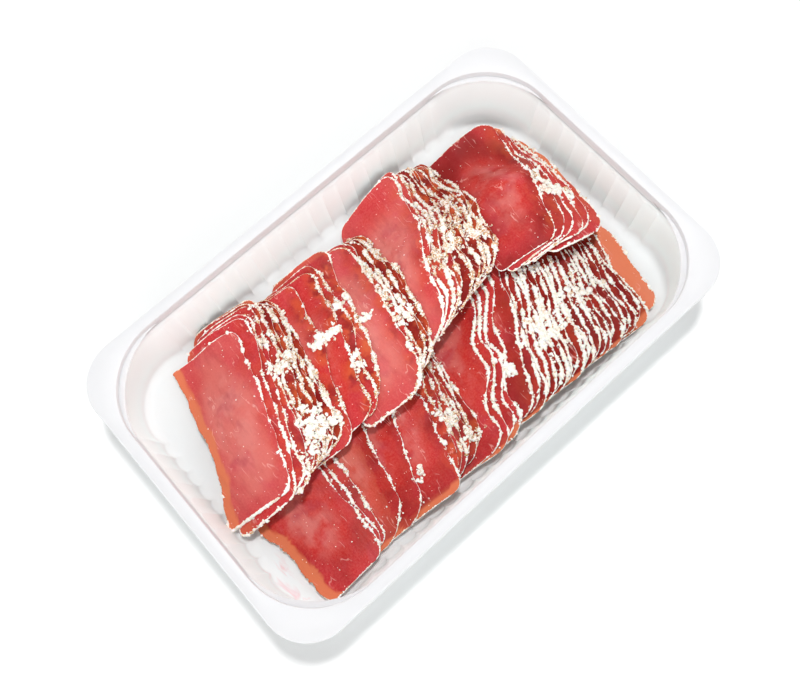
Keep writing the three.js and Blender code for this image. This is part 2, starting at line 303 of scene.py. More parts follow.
def tray_rings():
    """All outlines, from the middle of the floor up, over the rim and down to the underside."""
    rim = (TRAY_LENGTH, TRAY_WIDTH, RIM_CORNER_RADIUS)
    opening = (TRAY_LENGTH - 2 * RIM_WIDTH, TRAY_WIDTH - 2 * RIM_WIDTH, OPENING_CORNER)
    foot = (FLOOR_LENGTH, FLOOR_WIDTH, FLOOR_CORNER)

    def sized(outline, by, z, bump=0.0, corner=None):
        length, width, radius = outline
        return tray_ring(length + 2 * by, width + 2 * by, (corner or radius) + by, z, bump)

    def wall(share, by, bump):
        bottom, top = foot, (opening[0] - 1, opening[1] - 1, OPENING_CORNER - 0.5)
        outline = [low + (high - low) * share for low, high in zip(bottom, top)]
        return sized(outline, by, FOOT_HEIGHT + (BAND_BOTTOM - FOOT_HEIGHT) * share, bump)

    inside = [
        sized(foot, -TOE_REACH - 1.2, WALL, TOE_REACH / 4),
        sized(foot, 0.4 - TOE_REACH, WALL, TOE_REACH / 3),
        sized(foot, -TOE_REACH / 2, WALL + 0.7, TOE_REACH / 3),
        sized(foot, -0.7, FOOT_HEIGHT - 1, FLUTE_DEPTH),
    ]
    inside += [wall(share, 0, FLUTE_DEPTH * (1 - share / 2))
               for share in (0, 0.05, 0.3, 0.6, 0.85)]
    inside += [
        wall(0.95, 0, FLUTE_DEPTH / 2.6),
        wall(0.99, 0, 0.1),
        sized(opening, -0.3, BAND_BOTTOM + 0.4),
        sized(opening, -0.05, BAND_BOTTOM + 0.9),
        sized(opening, 0, LUG_TOP - LUG_SLOPE),
        sized(opening, 0, LUG_TOP - LUG_SLOPE / 2, corner=(OPENING_CORNER + LUG_CORNER) / 2),
        sized(opening, 0, LUG_TOP - 0.15, corner=LUG_CORNER),
        sized(opening, 0, LUG_TOP, corner=LUG_CORNER - 0.8),
        sized(opening, 0, LUG_TOP + 0.15),
        sized(opening, 0.05, TRAY_HEIGHT - 1),
        sized(opening, 0.25, TRAY_HEIGHT - 0.3),
        sized(opening, 0.9, TRAY_HEIGHT),
    ]
    rim_top = [
        sized(rim, -1.2, TRAY_HEIGHT),
        sized(rim, -0.4, TRAY_HEIGHT - 0.2),
        sized(rim, 0, TRAY_HEIGHT - 0.9),
        sized(rim, 0, TRAY_HEIGHT - RIM_LIP),
        sized(rim, -WALL, TRAY_HEIGHT - RIM_LIP),
        sized(rim, -WALL, TRAY_HEIGHT - 1.2),
        sized(rim, -1.4, TRAY_HEIGHT - WALL),
        sized(opening, 1.5, TRAY_HEIGHT - WALL),
        sized(opening, WALL, TRAY_HEIGHT - 1.6),
    ]
    outside = [sized(opening, WALL, BAND_BOTTOM + 0.6), sized(opening, WALL - 0.3, BAND_BOTTOM)]
    outside += [wall(share, WALL, FLUTE_DEPTH * (1 - share / 2))
                for share in (0.95, 0.6, 0.3, 0.05)]
    outside += [
        sized(foot, WALL - 0.3, FOOT_HEIGHT - WALL, FLUTE_DEPTH),
        sized(foot, WALL - TOE_REACH / 2, 0.9, TOE_REACH / 3),
        sized(foot, WALL - TOE_REACH, 0.15, TOE_REACH / 3),
        sized(foot, WALL - TOE_REACH - 0.6, 0, TOE_REACH / 4),
    ]
    return inside + rim_top + outside


outlines = tray_rings()
print("outlines:", len(outlines), "with", len(outlines[0]), "points each")

# %% [markdown]
# ## Skin over the outlines
# Each outline is joined to the next by four-sided faces, and the first and the last are closed,
# which gives the floor and the underside. Creases sharper than 40 degrees stay crisp and all
# softer ones are shaded smooth, as plastic that was drawn over a mould looks.

# %% Build the tray
SHARP_CREASE = 40


def joined_rings(rings):
    """The points of all outlines and the faces that join them."""
    count = len(rings[0])
    faces = [list(range(count))]
    for level in range(len(rings) - 1):
        for spot in range(count):
            here, after = level * count + spot, level * count + (spot + 1) % count
            faces.append([here, here + count, after + count, after])
    last = (len(rings) - 1) * count
    faces.append([last + spot for spot in reversed(range(count))])
    return [point for ring in rings for point in ring], faces


tray_points, tray_faces = joined_rings(outlines)
tray = make_piece("milky_tray", tray_points, tray_faces, MILKY_PLASTIC, solids=["tray"])
tray.data.set_sharp_from_angle(angle=math.radians(SHARP_CREASE))
print("tray faces:", len(tray_faces))

# %% [markdown]
# ## How the slices lie
# A packer fans a pile of slices by hand, so they lie in groups: some are spread wide and some are
# pushed tight together. A group is described by where the raised right rim of its first and last
# slice crosses one line (`edge`), how much that rim leans (`lean`), and where the slice ends
# (`near`, `far`). Everything between is worked out, which keeps neighbours parallel as real
# slices are. The near row begins with a lone torn slice on the left, and its right half is a
# tight group.
#
# `round` is how round the near corner of the rim is, `fall` slants the ends and `splay` opens the
# left edge. `bow` and `wave` bend the rims and `loose` lets each one stray by itself. The tone goes
# from coral to dark red, and its darkest values, given to the tight groups, are partly painted
# shade for the crevices between their rims. `rust` is how far the meat beside the coat has
# browned. `coat`, `end_coat`, `near_coat` and `left_coat` say how thick the crumbly coat is on the
# rim, on the ends, near the rim's foot and on the left edge, and `broken` how much of it has
# fallen off.
# `glow` is how much the tray shines through a lone slice, `band` how wide it does so along the
# left edge, and `torn_left` and `torn_rim` say how torn an edge is.

# %% Describe the near row
LOWER_GROUPS = [
    dict(slices=1, edge=[-73.5], lean=[0], near=[-69], far=[8.5], round=[8], splay=0.08,
         tone_and_shade=[0.72], coat=[0.8], fall=-0.04, rust=[0.1], band=5.8,
         left_coat=0.2, torn_left=0.4),
    dict(slices=2, edge=[-71, -67], lean=[0.05, 0.1], near=[-65], far=[13, 15], round=[8],
         tone_and_shade=[0.8], coat=[1], rust=[0.2]),
    dict(slices=3, edge=[-52.5, -39, -21], lean=[0.28, 0.36, 0.21], near=[-66, -69],
         far=[15, 12], round=[16, 6], bow=1.8, tone_and_shade=[0.8], coat=[0.9, 0.7],
         rust=[0.15, 0.3]),
    dict(slices=6, edge=[-16.5, -2], lean=[0.36, 0.21], near=[-66.5, -62], far=[14, 15],
         round=[12], tone_and_shade=[0.7, 1], coat=[0.9, 1.1], rust=[0.9, 0.7], loose=0.7, broken=0.8),
    dict(slices=4, edge=[11, 23.5], lean=[0.6], near=[-68.5, -67.5], far=[13, 14], round=[6],
         wave=2.1, wave_length=27, wave_shift=9, tone_and_shade=[0.7], coat=[1.05], rust=[0.15]),
    dict(slices=22, edge=[33.5, 101], lean=[0.56, 0.17], near=[-66, -68.5], far=[15, 13],
         round=[7], wave=0.7, wave_length=34, tone_and_shade=[0.9, 1.25, 1.3, 1.35],
         coat=[1.15, 1.4, 1.35, 1.1, 1, 0.95], rust=[0.22], loose=0.45, broken=0.3),
    dict(slices=1, edge=[109.5], lean=[0.12], near=[-68], far=[12], round=[6], bow=1.4,
         tone_and_shade=[0.6], coat=[0.6], rust=[0.4], torn_rim=0.35),
]
print("near row:", len(LOWER_GROUPS), "groups,",
      sum(group["slices"] for group in LOWER_GROUPS), "slices")

# %% [markdown]
# ## The far row
# The far row lies on the far edge of the near one. Its first slice is whole and shows its orange
# left edge, and its fifth group is a tall one, where twelve slices are pushed together like the
# strands of a rope. `left_bow`, `left_round` and `far_round` shape the edges that only a whole
# slice shows.

# %% Describe the far row
UPPER_GROUPS = [
    dict(slices=1, edge=[-71.5], lean=[0.34], near=[-17.5], far=[61], round=[7], bow=1.2, fall=0.2,
         left_bow=4, left_round=1.5, far_round=5, band=5.6, tone_and_shade=[0.0], coat=[0.7], end_coat=0.8,
         rust=[0.1], left_coat=0.2, torn_left=0.22, broken=1),
    dict(slices=10, edge=[-66.5, -59.5, -53.5, -48.5, -43.5], lean=[0.4, 0.21],
         near=[-22, -15], far=[65, 69, 65, 64], round=[7, 12], bow=0.6, fall=0.16,
         tone_and_shade=[0.5, 0.95, 1.15], coat=[0.8, 0.9, 1.05], rust=[0.3, 0.9, 0.7],
         loose=0.8, glow=0.5, end_coat=0.6, broken=1),
    dict(slices=4, edge=[-34.5, -23, -18, -12.5], lean=[0.36, 0.3, 0.34], near=[-20, -15],
         far=[61, 65], round=[8, 12], wave=1.2, wave_length=50, wave_shift=12,
         tone_and_shade=[0.45, 0.75], coat=[0.85, 1], rust=[0.8, 1], loose=0.8, glow=0.3,
         left_coat=0.22, broken=1),
    dict(slices=5, edge=[2.5, 15], lean=[0.22, 0.18], near=[-23, -15], far=[60, 61],
         round=[12, 14], bow=0.8, tone_and_shade=[0.1, 1.15, 1.25], coat=[1, 1.1], rust=[0.6, 1], glow=0.3,
         end_coat=0.6, left_coat=0.26, broken=0.9),
    dict(slices=12, edge=[32, 66.5], lean=[0.46, 0.17], near=[-14, -5], far=[67, 65],
         round=[16, 12], wave=2.2, wave_length=47, wave_shift=25, fall=-0.1, broken=0.8,
         tone_and_shade=[0.18, 1.3, 1.3], coat=[1, 1.1], rust=[0.4, 1, 0.9], loose=0.6, glow=0.1,
         left_coat=0.3, end_coat=0.5, near_coat=0.34),
    dict(slices=1, edge=[98], lean=[0.37], near=[-12], far=[60], round=[6], bow=2.8,
         splay=0.13, tone_and_shade=[0.92], coat=[0.75], rust=[0.4], glow=0),
    dict(slices=5, edge=[103, 115], lean=[0.3, 0.06], near=[-16, -21], far=[58, 47],
         round=[10], bow=1.5, tone_and_shade=[0.8, 0.6], coat=[0.8], rust=[0.4], end_coat=0.45),
]
ROWS = {"lower": {"middle": -45, "groups": LOWER_GROUPS},
        "upper": {"middle": 22, "groups": UPPER_GROUPS}}
print("far row:", len(UPPER_GROUPS), "groups,",
      sum(group["slices"] for group in UPPER_GROUPS), "slices")

# %% [markdown]
# ## One slice from its group
# A slice is the eye of a cured pork loin cut across: about 84 mm by 37 mm, with rounded corners.
# The corners on the right rim are rounder than those on the left. A little seeded unevenness in
# where each one ends keeps the rows from looking like machine parts.

# %% Work out every slice
SLICE_THICKNESS = 0.8
SLICE_WIDTH = 37
RIM_CORNER, LEFT_CORNER = 8, 4.5
GAP = 0.3
PITCH = SLICE_THICKNESS + GAP
END_SHIFT = 1.3
SPREAD_OVER_GROUP = ("edge", "lean", "near", "far", "round", "tone_and_shade", "coat", "rust")
PLAIN_GROUP = dict(
    fall=0.12, splay=0.0, bow=0.0, left_bow=0.0, wave=0.0, wave_shift=0.0, wave_length=50,
    loose=0.5, glow=1.0, band=0.0, torn_left=0.0, torn_rim=0.0, broken=0.35, end_coat=0.34,
    near_coat=0.0, left_coat=0.14, left_round=LEFT_CORNER, far_round=RIM_CORNER)


def spread(values, share):
    """A value at some share of the way through a group's list of values."""
    return float(np.interp(share * (len(values) - 1), range(len(values)), values))


def slices_of(row):
    """All slices of a row, from the one on top to the lowest."""
    slices = []
    for group in row["groups"]:
        for i in range(group["slices"]):
            share = i / max(group["slices"] - 1, 1)
            order = len(slices)
            item = {key: group.get(key, plain) for key, plain in PLAIN_GROUP.items()}
            item.update({key: spread(group[key], share) for key in SPREAD_OVER_GROUP})
            item["near"] += END_SHIFT * math.sin(3.7 * order)
            item["far"] += END_SHIFT * math.sin(5.1 * order + 1)
            item.update(order=order, middle=row["middle"], length=item["far"] - item["near"])
            slices.append(item)
    return slices


for row in ROWS.values():
    row["slices"] = slices_of(row)
    row["edges"] = np.array([item["edge"] for item in row["slices"]])
    row["leans"] = np.array([item["lean"] for item in row["slices"]])
first_slice = ROWS["upper"]["slices"][0]
print("first slice:", {key: round(float(first_slice[key]), 1) for key in SPREAD_OVER_GROUP})

# %% [markdown]
# ## The height of a row
# Slices that lie like roof tiles all have the same bend: each is the same sheet, one slice
# thickness lower than the one on top of it. So a row needs just one smooth surface. It climbs
# wherever slices begin, because each one that begins there pushes up all that lie on it. Every
# slice follows that surface, set lower by its place in the row, and neighbours keep an even gap.

# %% Count the slices that have begun
SOFTEN, SOFTEN_SAMPLES = 6, 9


def begun(row, x, y):
    """How many slices have begun to the left of each place, as a smooth number."""
    x, y = np.atleast_1d(x).astype(float), np.atleast_1d(y).astype(float)
    starts = row["edges"] + row["leans"] * (y[:, None] - row["middle"]) - SLICE_WIDTH
    total = np.zeros(len(x))
    each = np.arange(len(x))
    for offset in np.linspace(-1, 1, SOFTEN_SAMPLES):
        at = np.clip(x + offset * SOFTEN, starts[:, 0], starts[:, -1])
        after = np.clip((starts < at[:, None]).sum(axis=1), 1, starts.shape[1] - 1)
        low, high = starts[each, after - 1], starts[each, after]
        total += after - 1 + (at - low) / (high - low)
    return total / SOFTEN_SAMPLES


print("begun in the middle of the upper row:", round(float(begun(ROWS["upper"], 0, 20)[0]), 1))

# %% [markdown]
# ## The edges of a slice
# Seen from above, the raised right rim of a slice leans, bends and strays a little. A few slow
# sine waves give that: they cost nothing, look the same at every run, and can be asked for any y.
# A torn edge is the sum of two quicker waves whose strength comes and goes, so that it notches
# without a rhythm.

# %% Bend the edges
def hump(item, y):
    """Above zero in the middle of a slice's length and below zero at both of its ends."""
    centre = (item["near"] + item["far"]) / 2
    return np.cos(np.pi * (np.asarray(y, dtype=float) - centre) / item["length"]) - 0.55


def tear(item, y):
    """A small uneven notching, for an edge from which the coat was torn away."""
    y = np.asarray(y, dtype=float)
    coarse = np.sin(1.7 * y + 1.9 * np.sin(0.7 * y + item["order"]))
    fine = np.sin(3.6 * y + 2.3 * np.sin(1.1 * y) + 1)
    return (coarse + 0.7 * fine) * (0.55 + 0.45 * np.sin(0.31 * y + item["order"]))


def rim_x(item, y):
    """The x of a slice's right rim at y, with the bends of its group."""
    y, order = np.asarray(y, dtype=float), item["order"]
    ripple = np.sin(2 * np.pi * (y - item["wave_shift"]) / item["wave_length"])
    stray = item["loose"] * (np.sin(y / 8.7 + 2.3 * order) + 0.5 * np.sin(y / 3.9 + 3.1 * order))
    fine = 0.25 * np.sin(y / 1.9 + 1.9 * order) + item["torn_rim"] * tear(item, y)
    straight = item["edge"] + item["lean"] * (y - item["middle"])
    return straight + item["bow"] * hump(item, y) + item["wave"] * ripple + stray + fine


def left_shift(item, y):
    """How far the left edge is moved from where a plain shear would put it."""
    fan = item["splay"] * (y - item["near"] - item["length"] / 3)
    return item["left_bow"] * hump(item, y) - fan + item["torn_left"] * tear(item, y)


print("rim of the first slice at its middle:", round(float(rim_x(first_slice, 22)), 1))

# %% [markdown]
# ## The shape of one slice from above
# A rounded rectangle that is sheared by its lean is close to the real outline. One function takes
# a place on the slice, across it and along it, and gives the place in the tray, and a second one
# goes back. The same two serve the meat, the coat and the crumbs, so they always agree.

# %% Place points on a slice
UNEVEN = 0.9


def bounds_across(item, up):
    """The left and right bound across a slice, at each distance up from its near end."""
    up = np.asarray(up, dtype=float)
    rest = item["length"] - up

    def cut(corner, distance):
        inside = np.clip(corner - distance, 0, corner)
        return corner - np.sqrt(np.maximum(corner ** 2 - inside ** 2, 0))

    left = np.maximum(cut(item["left_round"], up), cut(item["left_round"], rest))
    right = SLICE_WIDTH - np.maximum(cut(item["round"], up), cut(item["far_round"], rest))
    return left, right


def place_on_slice(item, across, up):
    """The place in the tray of a point on a slice, with a seeded unevenness near its edge."""
    across, up = np.asarray(across, dtype=float), np.asarray(up, dtype=float)
    turn = np.arctan2(up - item["length"] / 2, across - SLICE_WIDTH / 2)
    to_side, to_end = abs(2 * across / SLICE_WIDTH - 1), abs(2 * up / item["length"] - 1)
    seed = item["order"]
    uneven = 0.6 * np.sin(3 * turn + 1.7 * seed) + 0.4 * np.sin(5 * turn - 2.3 * seed)
    grow = UNEVEN * np.maximum(to_side, to_end) ** 3 * uneven
    y = item["near"] + up - item["fall"] * (across - SLICE_WIDTH / 2)
    x = rim_x(item, y) - SLICE_WIDTH + across + left_shift(item, y) * (1 - across / SLICE_WIDTH)
    return x + grow * np.cos(turn), y + grow * np.sin(turn)


def covers(item, x, y, margin=0.0):
    """Whether a slice covers each place, by going back from the tray to the slice."""
    x, y = np.asarray(x, dtype=float), np.asarray(y, dtype=float)
    shift = left_shift(item, y)
    across = (x - rim_x(item, y) + SLICE_WIDTH - shift) / (1 - shift / SLICE_WIDTH)
    up = y - item["near"] + item["fall"] * (across - SLICE_WIDTH / 2)
    left, right = bounds_across(item, np.clip(up, 0, item["length"]))
    inside = (up > margin) & (up < item["length"] - margin)
    return inside & (across > left + margin) & (across < right - margin)


print("corner of the first slice:",
      [round(float(v), 1) for v in place_on_slice(first_slice, 0, 0)])

# %% [markdown]
# ## What each row rests on
# A row can't float and can't sink in, so it is lifted until its lowest point clears what it lies
# on. The near row lies on the tray's flat floor. The height at any place is then the support,
# plus that lift, plus one pitch for each slice that has begun.

# %% Lift a row off its support
FLOOR_TOP = WALL
REST_GAP = 0.9
CHECKS_UP, CHECKS_ACROSS = 17, 5


def rest_of(row):
    """How far a row is lifted so that its lowest slice clears what it rests on."""
    lowest = 0.0
    for item in row["slices"]:
        up, share = np.meshgrid(np.linspace(0, item["length"], CHECKS_UP),
                                np.linspace(0, 1, CHECKS_ACROSS))
        left, right = bounds_across(item, up)
        x, y = place_on_slice(item, left + (right - left) * share, up)
        lowest = min(lowest, (begun(row, x.ravel(), y.ravel()) - item["order"]).min())
    return REST_GAP - PITCH * lowest


def surface(row, x, y):
    """Height of the underside of a row's first slice."""
    return row["support"](x, y) + row["rest"] + PITCH * begun(row, x, y)


ROWS["lower"]["support"] = lambda x, y: np.full(len(np.atleast_1d(x)), FLOOR_TOP)
ROWS["lower"]["rest"] = rest_of(ROWS["lower"])
print("the near row is lifted by", round(ROWS["lower"]["rest"], 1), "mm")

# %% [markdown]
# ## The far row bridges the near one
# The far row lies on the near one, and then drapes down to the floor behind it. Limp slices
# bridge small dips, so the surface under them takes the highest point within a few millimetres
# and smooths the result. Towards the floor it eases down, sooner at the right end.

# %% Drape the far row
OVERLAP_NEAR, OVERLAP_FAR = -26, 17
DRAPE_END, DRAPE_END_RIGHT = 50, 40
DRAPE_TURN = (75, 105)
COVER_REACH, COVER_GAP, COVER_SAMPLES = 9, 0.9, 7
COVER_HALF_LENGTH = 140


def ease(share):
    """From 0 to 1 along a gentle S instead of a straight ramp."""
    share = np.clip(share, 0, 1)
    return share * share * (3 - 2 * share)


def top_of_lower(x, y):
    """Height of the near row's top, looking for the uppermost slice at each place."""
    height = np.zeros(len(x))
    sheet = surface(ROWS["lower"], x, y)
    for item in reversed(ROWS["lower"]["slices"]):
        rim = item["edge"] + item["lean"] * (y - item["middle"])
        over = (rim > x) & (rim - SLICE_WIDTH < x)
        height[over] = (sheet - PITCH * item["order"] + SLICE_THICKNESS)[over]
    return height


def cover_profile():
    """The near row's height along the tray, bridged and smoothed."""
    xs = np.arange(-COVER_HALF_LENGTH, COVER_HALF_LENGTH + 1.0)
    highest = np.zeros(len(xs))
    for shift in np.linspace(-COVER_REACH, COVER_REACH, COVER_SAMPLES):
        for y in (OVERLAP_NEAR, 0.0, OVERLAP_FAR):
            highest = np.maximum(highest, top_of_lower(xs + shift, np.full(len(xs), y)))
    steps = (-1, -0.5, 0, 0.5, 1)
    smooth = [np.interp(xs + step * COVER_REACH, xs, highest) for step in steps]
    return xs, sum(smooth) / len(smooth) + COVER_GAP


def drape(x, y):
    """Height of what the far row lies on, from the near row's top down to the floor."""
    x, y = np.atleast_1d(x), np.atleast_1d(y)
    right = ease((x - DRAPE_TURN[0]) / (DRAPE_TURN[1] - DRAPE_TURN[0]))
    end = DRAPE_END + (DRAPE_END_RIGHT - DRAPE_END) * right
    down = ease((y - OVERLAP_FAR) / (end - OVERLAP_FAR))
    cover = np.interp(x, *COVER)
    return cover + (FLOOR_TOP - cover) * down


COVER = cover_profile()
ROWS["upper"]["support"] = drape
ROWS["upper"]["rest"] = rest_of(ROWS["upper"])
print("highest cover over the near row in mm:", round(float(COVER[1].max()), 1))

# %% [markdown]
# ## Which slice is seen from above
# Crumbs must lie on the uppermost slice, the coat is only needed where it shows, and a slice
# looks orange where nothing lies under it but the white tray. All three ask the same question:
# which slices cover a place. Order 0 lies on top in each row, and the far row lies on the near.

# %% Look down on the pile
STACK = [("upper", item) for item in ROWS["upper"]["slices"]]
STACK += [("lower", item) for item in ROWS["lower"]["slices"]]
for place_in_stack, (row_name, item) in enumerate(STACK):
    item["stack"] = place_in_stack
    item["row"] = row_name


def hidden_by(stack, x, y, margin):
    """Whether any slice higher in the stack covers each place."""
    hidden = np.zeros(np.shape(x), dtype=bool)
    for _, item in STACK[:stack]:
        hidden |= covers(item, x, y, margin)
    return hidden


def layers_under(stack, x, y):
    """How many slices lie under one slice at each place."""
    count = np.zeros(np.shape(x))
    for _, item in STACK[stack + 1:]:
        count += covers(item, x, y)
    return count


def top_height(item, x, y):
    """Height of the upper side of one slice."""
    row = ROWS[item["row"]]
    return surface(row, x, y) - PITCH * item["order"] + SLICE_THICKNESS


def pile_top(x, y):
    """Height of the pile at each place, and the stack number of the slice on top there."""
    height = np.full(len(x), FLOOR_TOP)
    owner = np.full(len(x), len(STACK))
    for stack in reversed(range(len(STACK))):
        item = STACK[stack][1]
        over = covers(item, x, y)
        if over.any():
            height[over] = top_height(item, x[over], y[over])
            owner[over] = stack
    return height, owner


print("slices in the stack:", len(STACK))

# %% [markdown]
# ## Cured meat
# Cured loin is glossy, deep red and slightly see-through. The material builds that in layers, from
# the ground colour up: coral to dark red, a crimson outer part, a painted milky sheen in the
# middle, soft mottling and dark fibres that run along the slice. Values stored on a slice's points
# steer it. The tone goes from coral to dark, and its darkest values are partly painted shade.
# `heart` goes from the edge to the middle, `rim` marks the strip beside the coat, `rust` how brown
# it is, and `thin` where only the tray lies under it. `own` shifts the noise, so that no two slices
# have the same clouds.

# %% Ground colour of the meat
FIBRE_TURN, FIBRE_STRETCH = -0.3, 0.22

tree, shader = new_material("cured_meat", Roughness=0.42, IOR=1.3, Subsurface_Weight=0.15,
                            Subsurface_Scale=0.0015, Coat_Weight=0.05, Coat_Roughness=0.4)
shader.inputs["Subsurface Radius"].default_value = (1.0, 0.3, 0.15)
place = add(tree, "ShaderNodeTexCoord").outputs["Object"]
mark = {name: add(tree, "ShaderNodeAttribute", attribute_name=name).outputs["Fac"]
        for name in ("thin", "tone_and_shade", "rim", "rust", "heart", "own")}
own_shift = add(tree, "ShaderNodeCombineXYZ", {"Z": mark["own"]}).outputs[0]
on_slice = add(tree, "ShaderNodeVectorMath", {0: place, 1: own_shift}, operation="ADD").outputs[0]
along = add(tree, "ShaderNodeMapping", {"Vector": on_slice, "Rotation": (0, 0, FIBRE_TURN),
                                        "Scale": (1.0, FIBRE_STRETCH, 1.0)}).outputs[0]

cloudy = between(tree, grain(tree, on_slice, 22, 3), 0.3, 0.7, -0.16, 0.16)
from_heart = between(tree, mark["heart"], 0.1, 0.9, 0.16, -0.12)
tone_and_shade = plus(tree, plus(tree, cloudy, from_heart), mark["tone_and_shade"])
red = between(tree, tone_and_shade, 0.0, 0.7)
colour = paint(tree, red, screen_colour(206, 104, 97), 192, 36, 30)
pink = between(tree, grain(tree, on_slice, 13, 3, warp=0.4), 0.52, 0.7, 0, 0.4)
colour = paint(tree, pink, colour, 200, 76, 90)
outer = plus(tree, mark["heart"], grain(tree, on_slice, 16, 2))
colour = paint(tree, between(tree, outer, 1.05, 0.55, 0, 0.6), colour, 190, 44, 56)
# Painted sheen: a milky pink in the middle of each slice stands in for its soft gloss.
painted_sheen = times(tree, between(tree, mark["heart"], 0.35, 0.95, 0, 0.5),
              between(tree, grain(tree, on_slice, 9, 3), 0.36, 0.6))
colour = paint(tree, painted_sheen, colour, 212, 134, 126)
mottle = between(tree, grain(tree, on_slice, 0.9, 3, 0.6), 0.35, 0.7, 0, 0.18)
colour = paint(tree, mottle, colour, 228, 124, 112)
fibres = between(tree, grain(tree, along, 4.5, 5, 0.68), 0.46, 0.76, 0, 0.32)
colour = paint(tree, fibres, colour, 156, 30, 36)
dark_heart = times(tree, between(tree, grain(tree, on_slice, 12, 3), 0.56, 0.7, 0, 0.5),
                   mark["heart"])
colour = paint(tree, dark_heart, colour, 170, 52, 66)
# Painted shade: above 0.7 the red deepens to a very dark red, partly the meat's own colour and
# partly shade painted in for the crevices between the tightly packed rims.
colour = paint(tree, between(tree, tone_and_shade, 0.7, 1.35), colour, 126, 6, 3)
print("nodes for the ground colour:", len(tree.nodes))

# %% [markdown]
# ## Browned rims, strands and specks
# Beside the coat the meat has dried and browned in patches, from orange rust to nearly black.
# Where a single slice lies over the white tray, light comes back through it and it turns orange.
# Hair-thin white strands of sinew and tiny white specks lie over everything else. A strand is
# where a soft noise crosses its middle value, which gives long winding lines.

# %% Rims, strands and specks of the meat
STRAND_HALF_WIDTH = 0.012
SPECK_SPACING_MM = 2.6

browned = times(tree, mark["rim"],
                between(tree, grain(tree, on_slice, 10, 2), 0.3, 0.62, 0, 0.85))
rusty = paint(tree, between(tree, grain(tree, on_slice, 8, 3), 0.42, 0.6),
              screen_colour(204, 90, 44), 124, 24, 12)
colour = blend(tree, times(tree, browned, mark["rust"]), colour, rusty)
warm_rim = times(tree, mark["rim"],
                 between(tree, grain(tree, on_slice, 9, 2), 0.45, 0.65, 0, 0.35))
colour = paint(tree, warm_rim, colour, 188, 52, 32)
colour = paint(tree, times(tree, mark["thin"], 0.85), colour, 216, 120, 80)

off_line = reckon(tree, "SUBTRACT", grain(tree, along, 8, 3, 0.5, warp=0.35), 0.5)
on_line = between(tree, reckon(tree, "ABSOLUTE", off_line), STRAND_HALF_WIDTH, 0.0)
strands = times(tree, on_line, between(tree, grain(tree, place, 8, 1), 0.52, 0.62))
colour = paint(tree, times(tree, strands, 0.5), colour, 236, 178, 168)
cells = add(tree, "ShaderNodeTexVoronoi",
            {"Vector": on_slice, "Scale": 1 / (SPECK_SPACING_MM * MM)}).outputs
chosen = add(tree, "ShaderNodeSeparateColor", {0: cells["Color"]}).outputs[0]
specks = times(tree, between(tree, cells["Distance"], 0.13, 0.07),
               between(tree, chosen, 0.79, 0.83))
colour = paint(tree, times(tree, specks, 0.72), colour, 240, 200, 190)
tree.links.new(colour, shader.inputs["Base Color"])
print("nodes with rims, strands and specks:", len(tree.nodes))

# %% [markdown]
# ## Gloss and relief of the meat
# Moist meat glints unevenly, and the dark slices of the tight groups, whose dark red is partly
# painted shade, glint less. Two layers of bump, broad fibres and fine pits, break the highlights up
# without any more faces.

# %% Gloss and relief of the meat
gloss = between(tree, grain(tree, on_slice, 6, 3), 0.3, 0.7, 0.36, 0.52)
dry = between(tree, mark["tone_and_shade"], 0.7, 1.15, 0, 0.3)
tree.links.new(plus(tree, gloss, dry), shader.inputs["Roughness"])
fibre_bump = add(tree, "ShaderNodeBump", {
    "Height": grain(tree, along, 2.2, 4, 0.6), "Strength": 0.4, "Distance": 0.0005})
pit_bump = add(tree, "ShaderNodeBump", {
    "Height": grain(tree, on_slice, 0.7, 2, 0.6), "Strength": 0.3, "Distance": 0.00015,
    "Normal": fibre_bump.outputs[0]})
tree.links.new(pit_bump.outputs[0], shader.inputs["Normal"])
CURED_MEAT = bpy.data.materials["cured_meat"]
print("material:", CURED_MEAT.name, len(tree.nodes), "nodes")

# %% [markdown]
# ## The mesh of one slice
# A slice is a grid of points, top and bottom, with its edge closed by a small rounded band. The
# grid is fine where the slice shows and coarse where other slices hide it, which keeps the whole
# pile light.

# %% Choose the steps of the grid
EDGE_INSET = 0.45
END_STEPS = [0, EDGE_INSET, 1.1, 2.0, 3.2, 4.8, 6.6, 8.6]
LENGTH_STEP, TORN_STEP = 2.2, 0.8
FINE_STEP, COARSE_STEP = 1.1, 5.0
HIDDEN_MARGIN, NEARLY_WHOLE = 2, 6
END_MARGIN, EXPOSED_MARGIN = 4, 3


def steps_along(item):
    """Distances from the near end: fine at both ends, and all along a torn edge."""
    torn = item["torn_left"] + item["torn_rim"]
    span = item["length"] - 2 * END_STEPS[-1]
    count = int(span / (TORN_STEP if torn else LENGTH_STEP))
    inner = np.linspace(END_STEPS[-1], item["length"] - END_STEPS[-1], count + 1)[1:-1]
    return np.array(END_STEPS + list(inner)
                    + [item["length"] - value for value in reversed(END_STEPS)])


def steps_across(exposed):
    """Shares of the width: fine where the slice shows and coarse where it is hidden."""
    if exposed > SLICE_WIDTH - NEARLY_WHOLE:
        inner = np.linspace(1, SLICE_WIDTH - 1, int((SLICE_WIDTH - 2) / FINE_STEP))
    else:
        start = SLICE_WIDTH - exposed - HIDDEN_MARGIN
        fine = np.linspace(start, SLICE_WIDTH - 1, max(int(exposed / FINE_STEP), 3))
        inner = np.concatenate([np.arange(1, start, COARSE_STEP), fine])
    last = [SLICE_WIDTH - EDGE_INSET, SLICE_WIDTH]
    return np.concatenate([[0, EDGE_INSET], inner, last]) / SLICE_WIDTH


def exposed_width(item):
    """The widest strip that the slice above leaves free, with a little to spare."""
    if item["order"] == 0:
        return SLICE_WIDTH
    above = STACK[item["stack"] - 1][1]
    edge_gap, lean_gap = item["edge"] - above["edge"], item["lean"] - above["lean"]
    ends = (item["near"] + END_MARGIN, item["middle"], item["far"] - END_MARGIN)
    return max(edge_gap + lean_gap * (y - item["middle"]) for y in ends) + EXPOSED_MARGIN


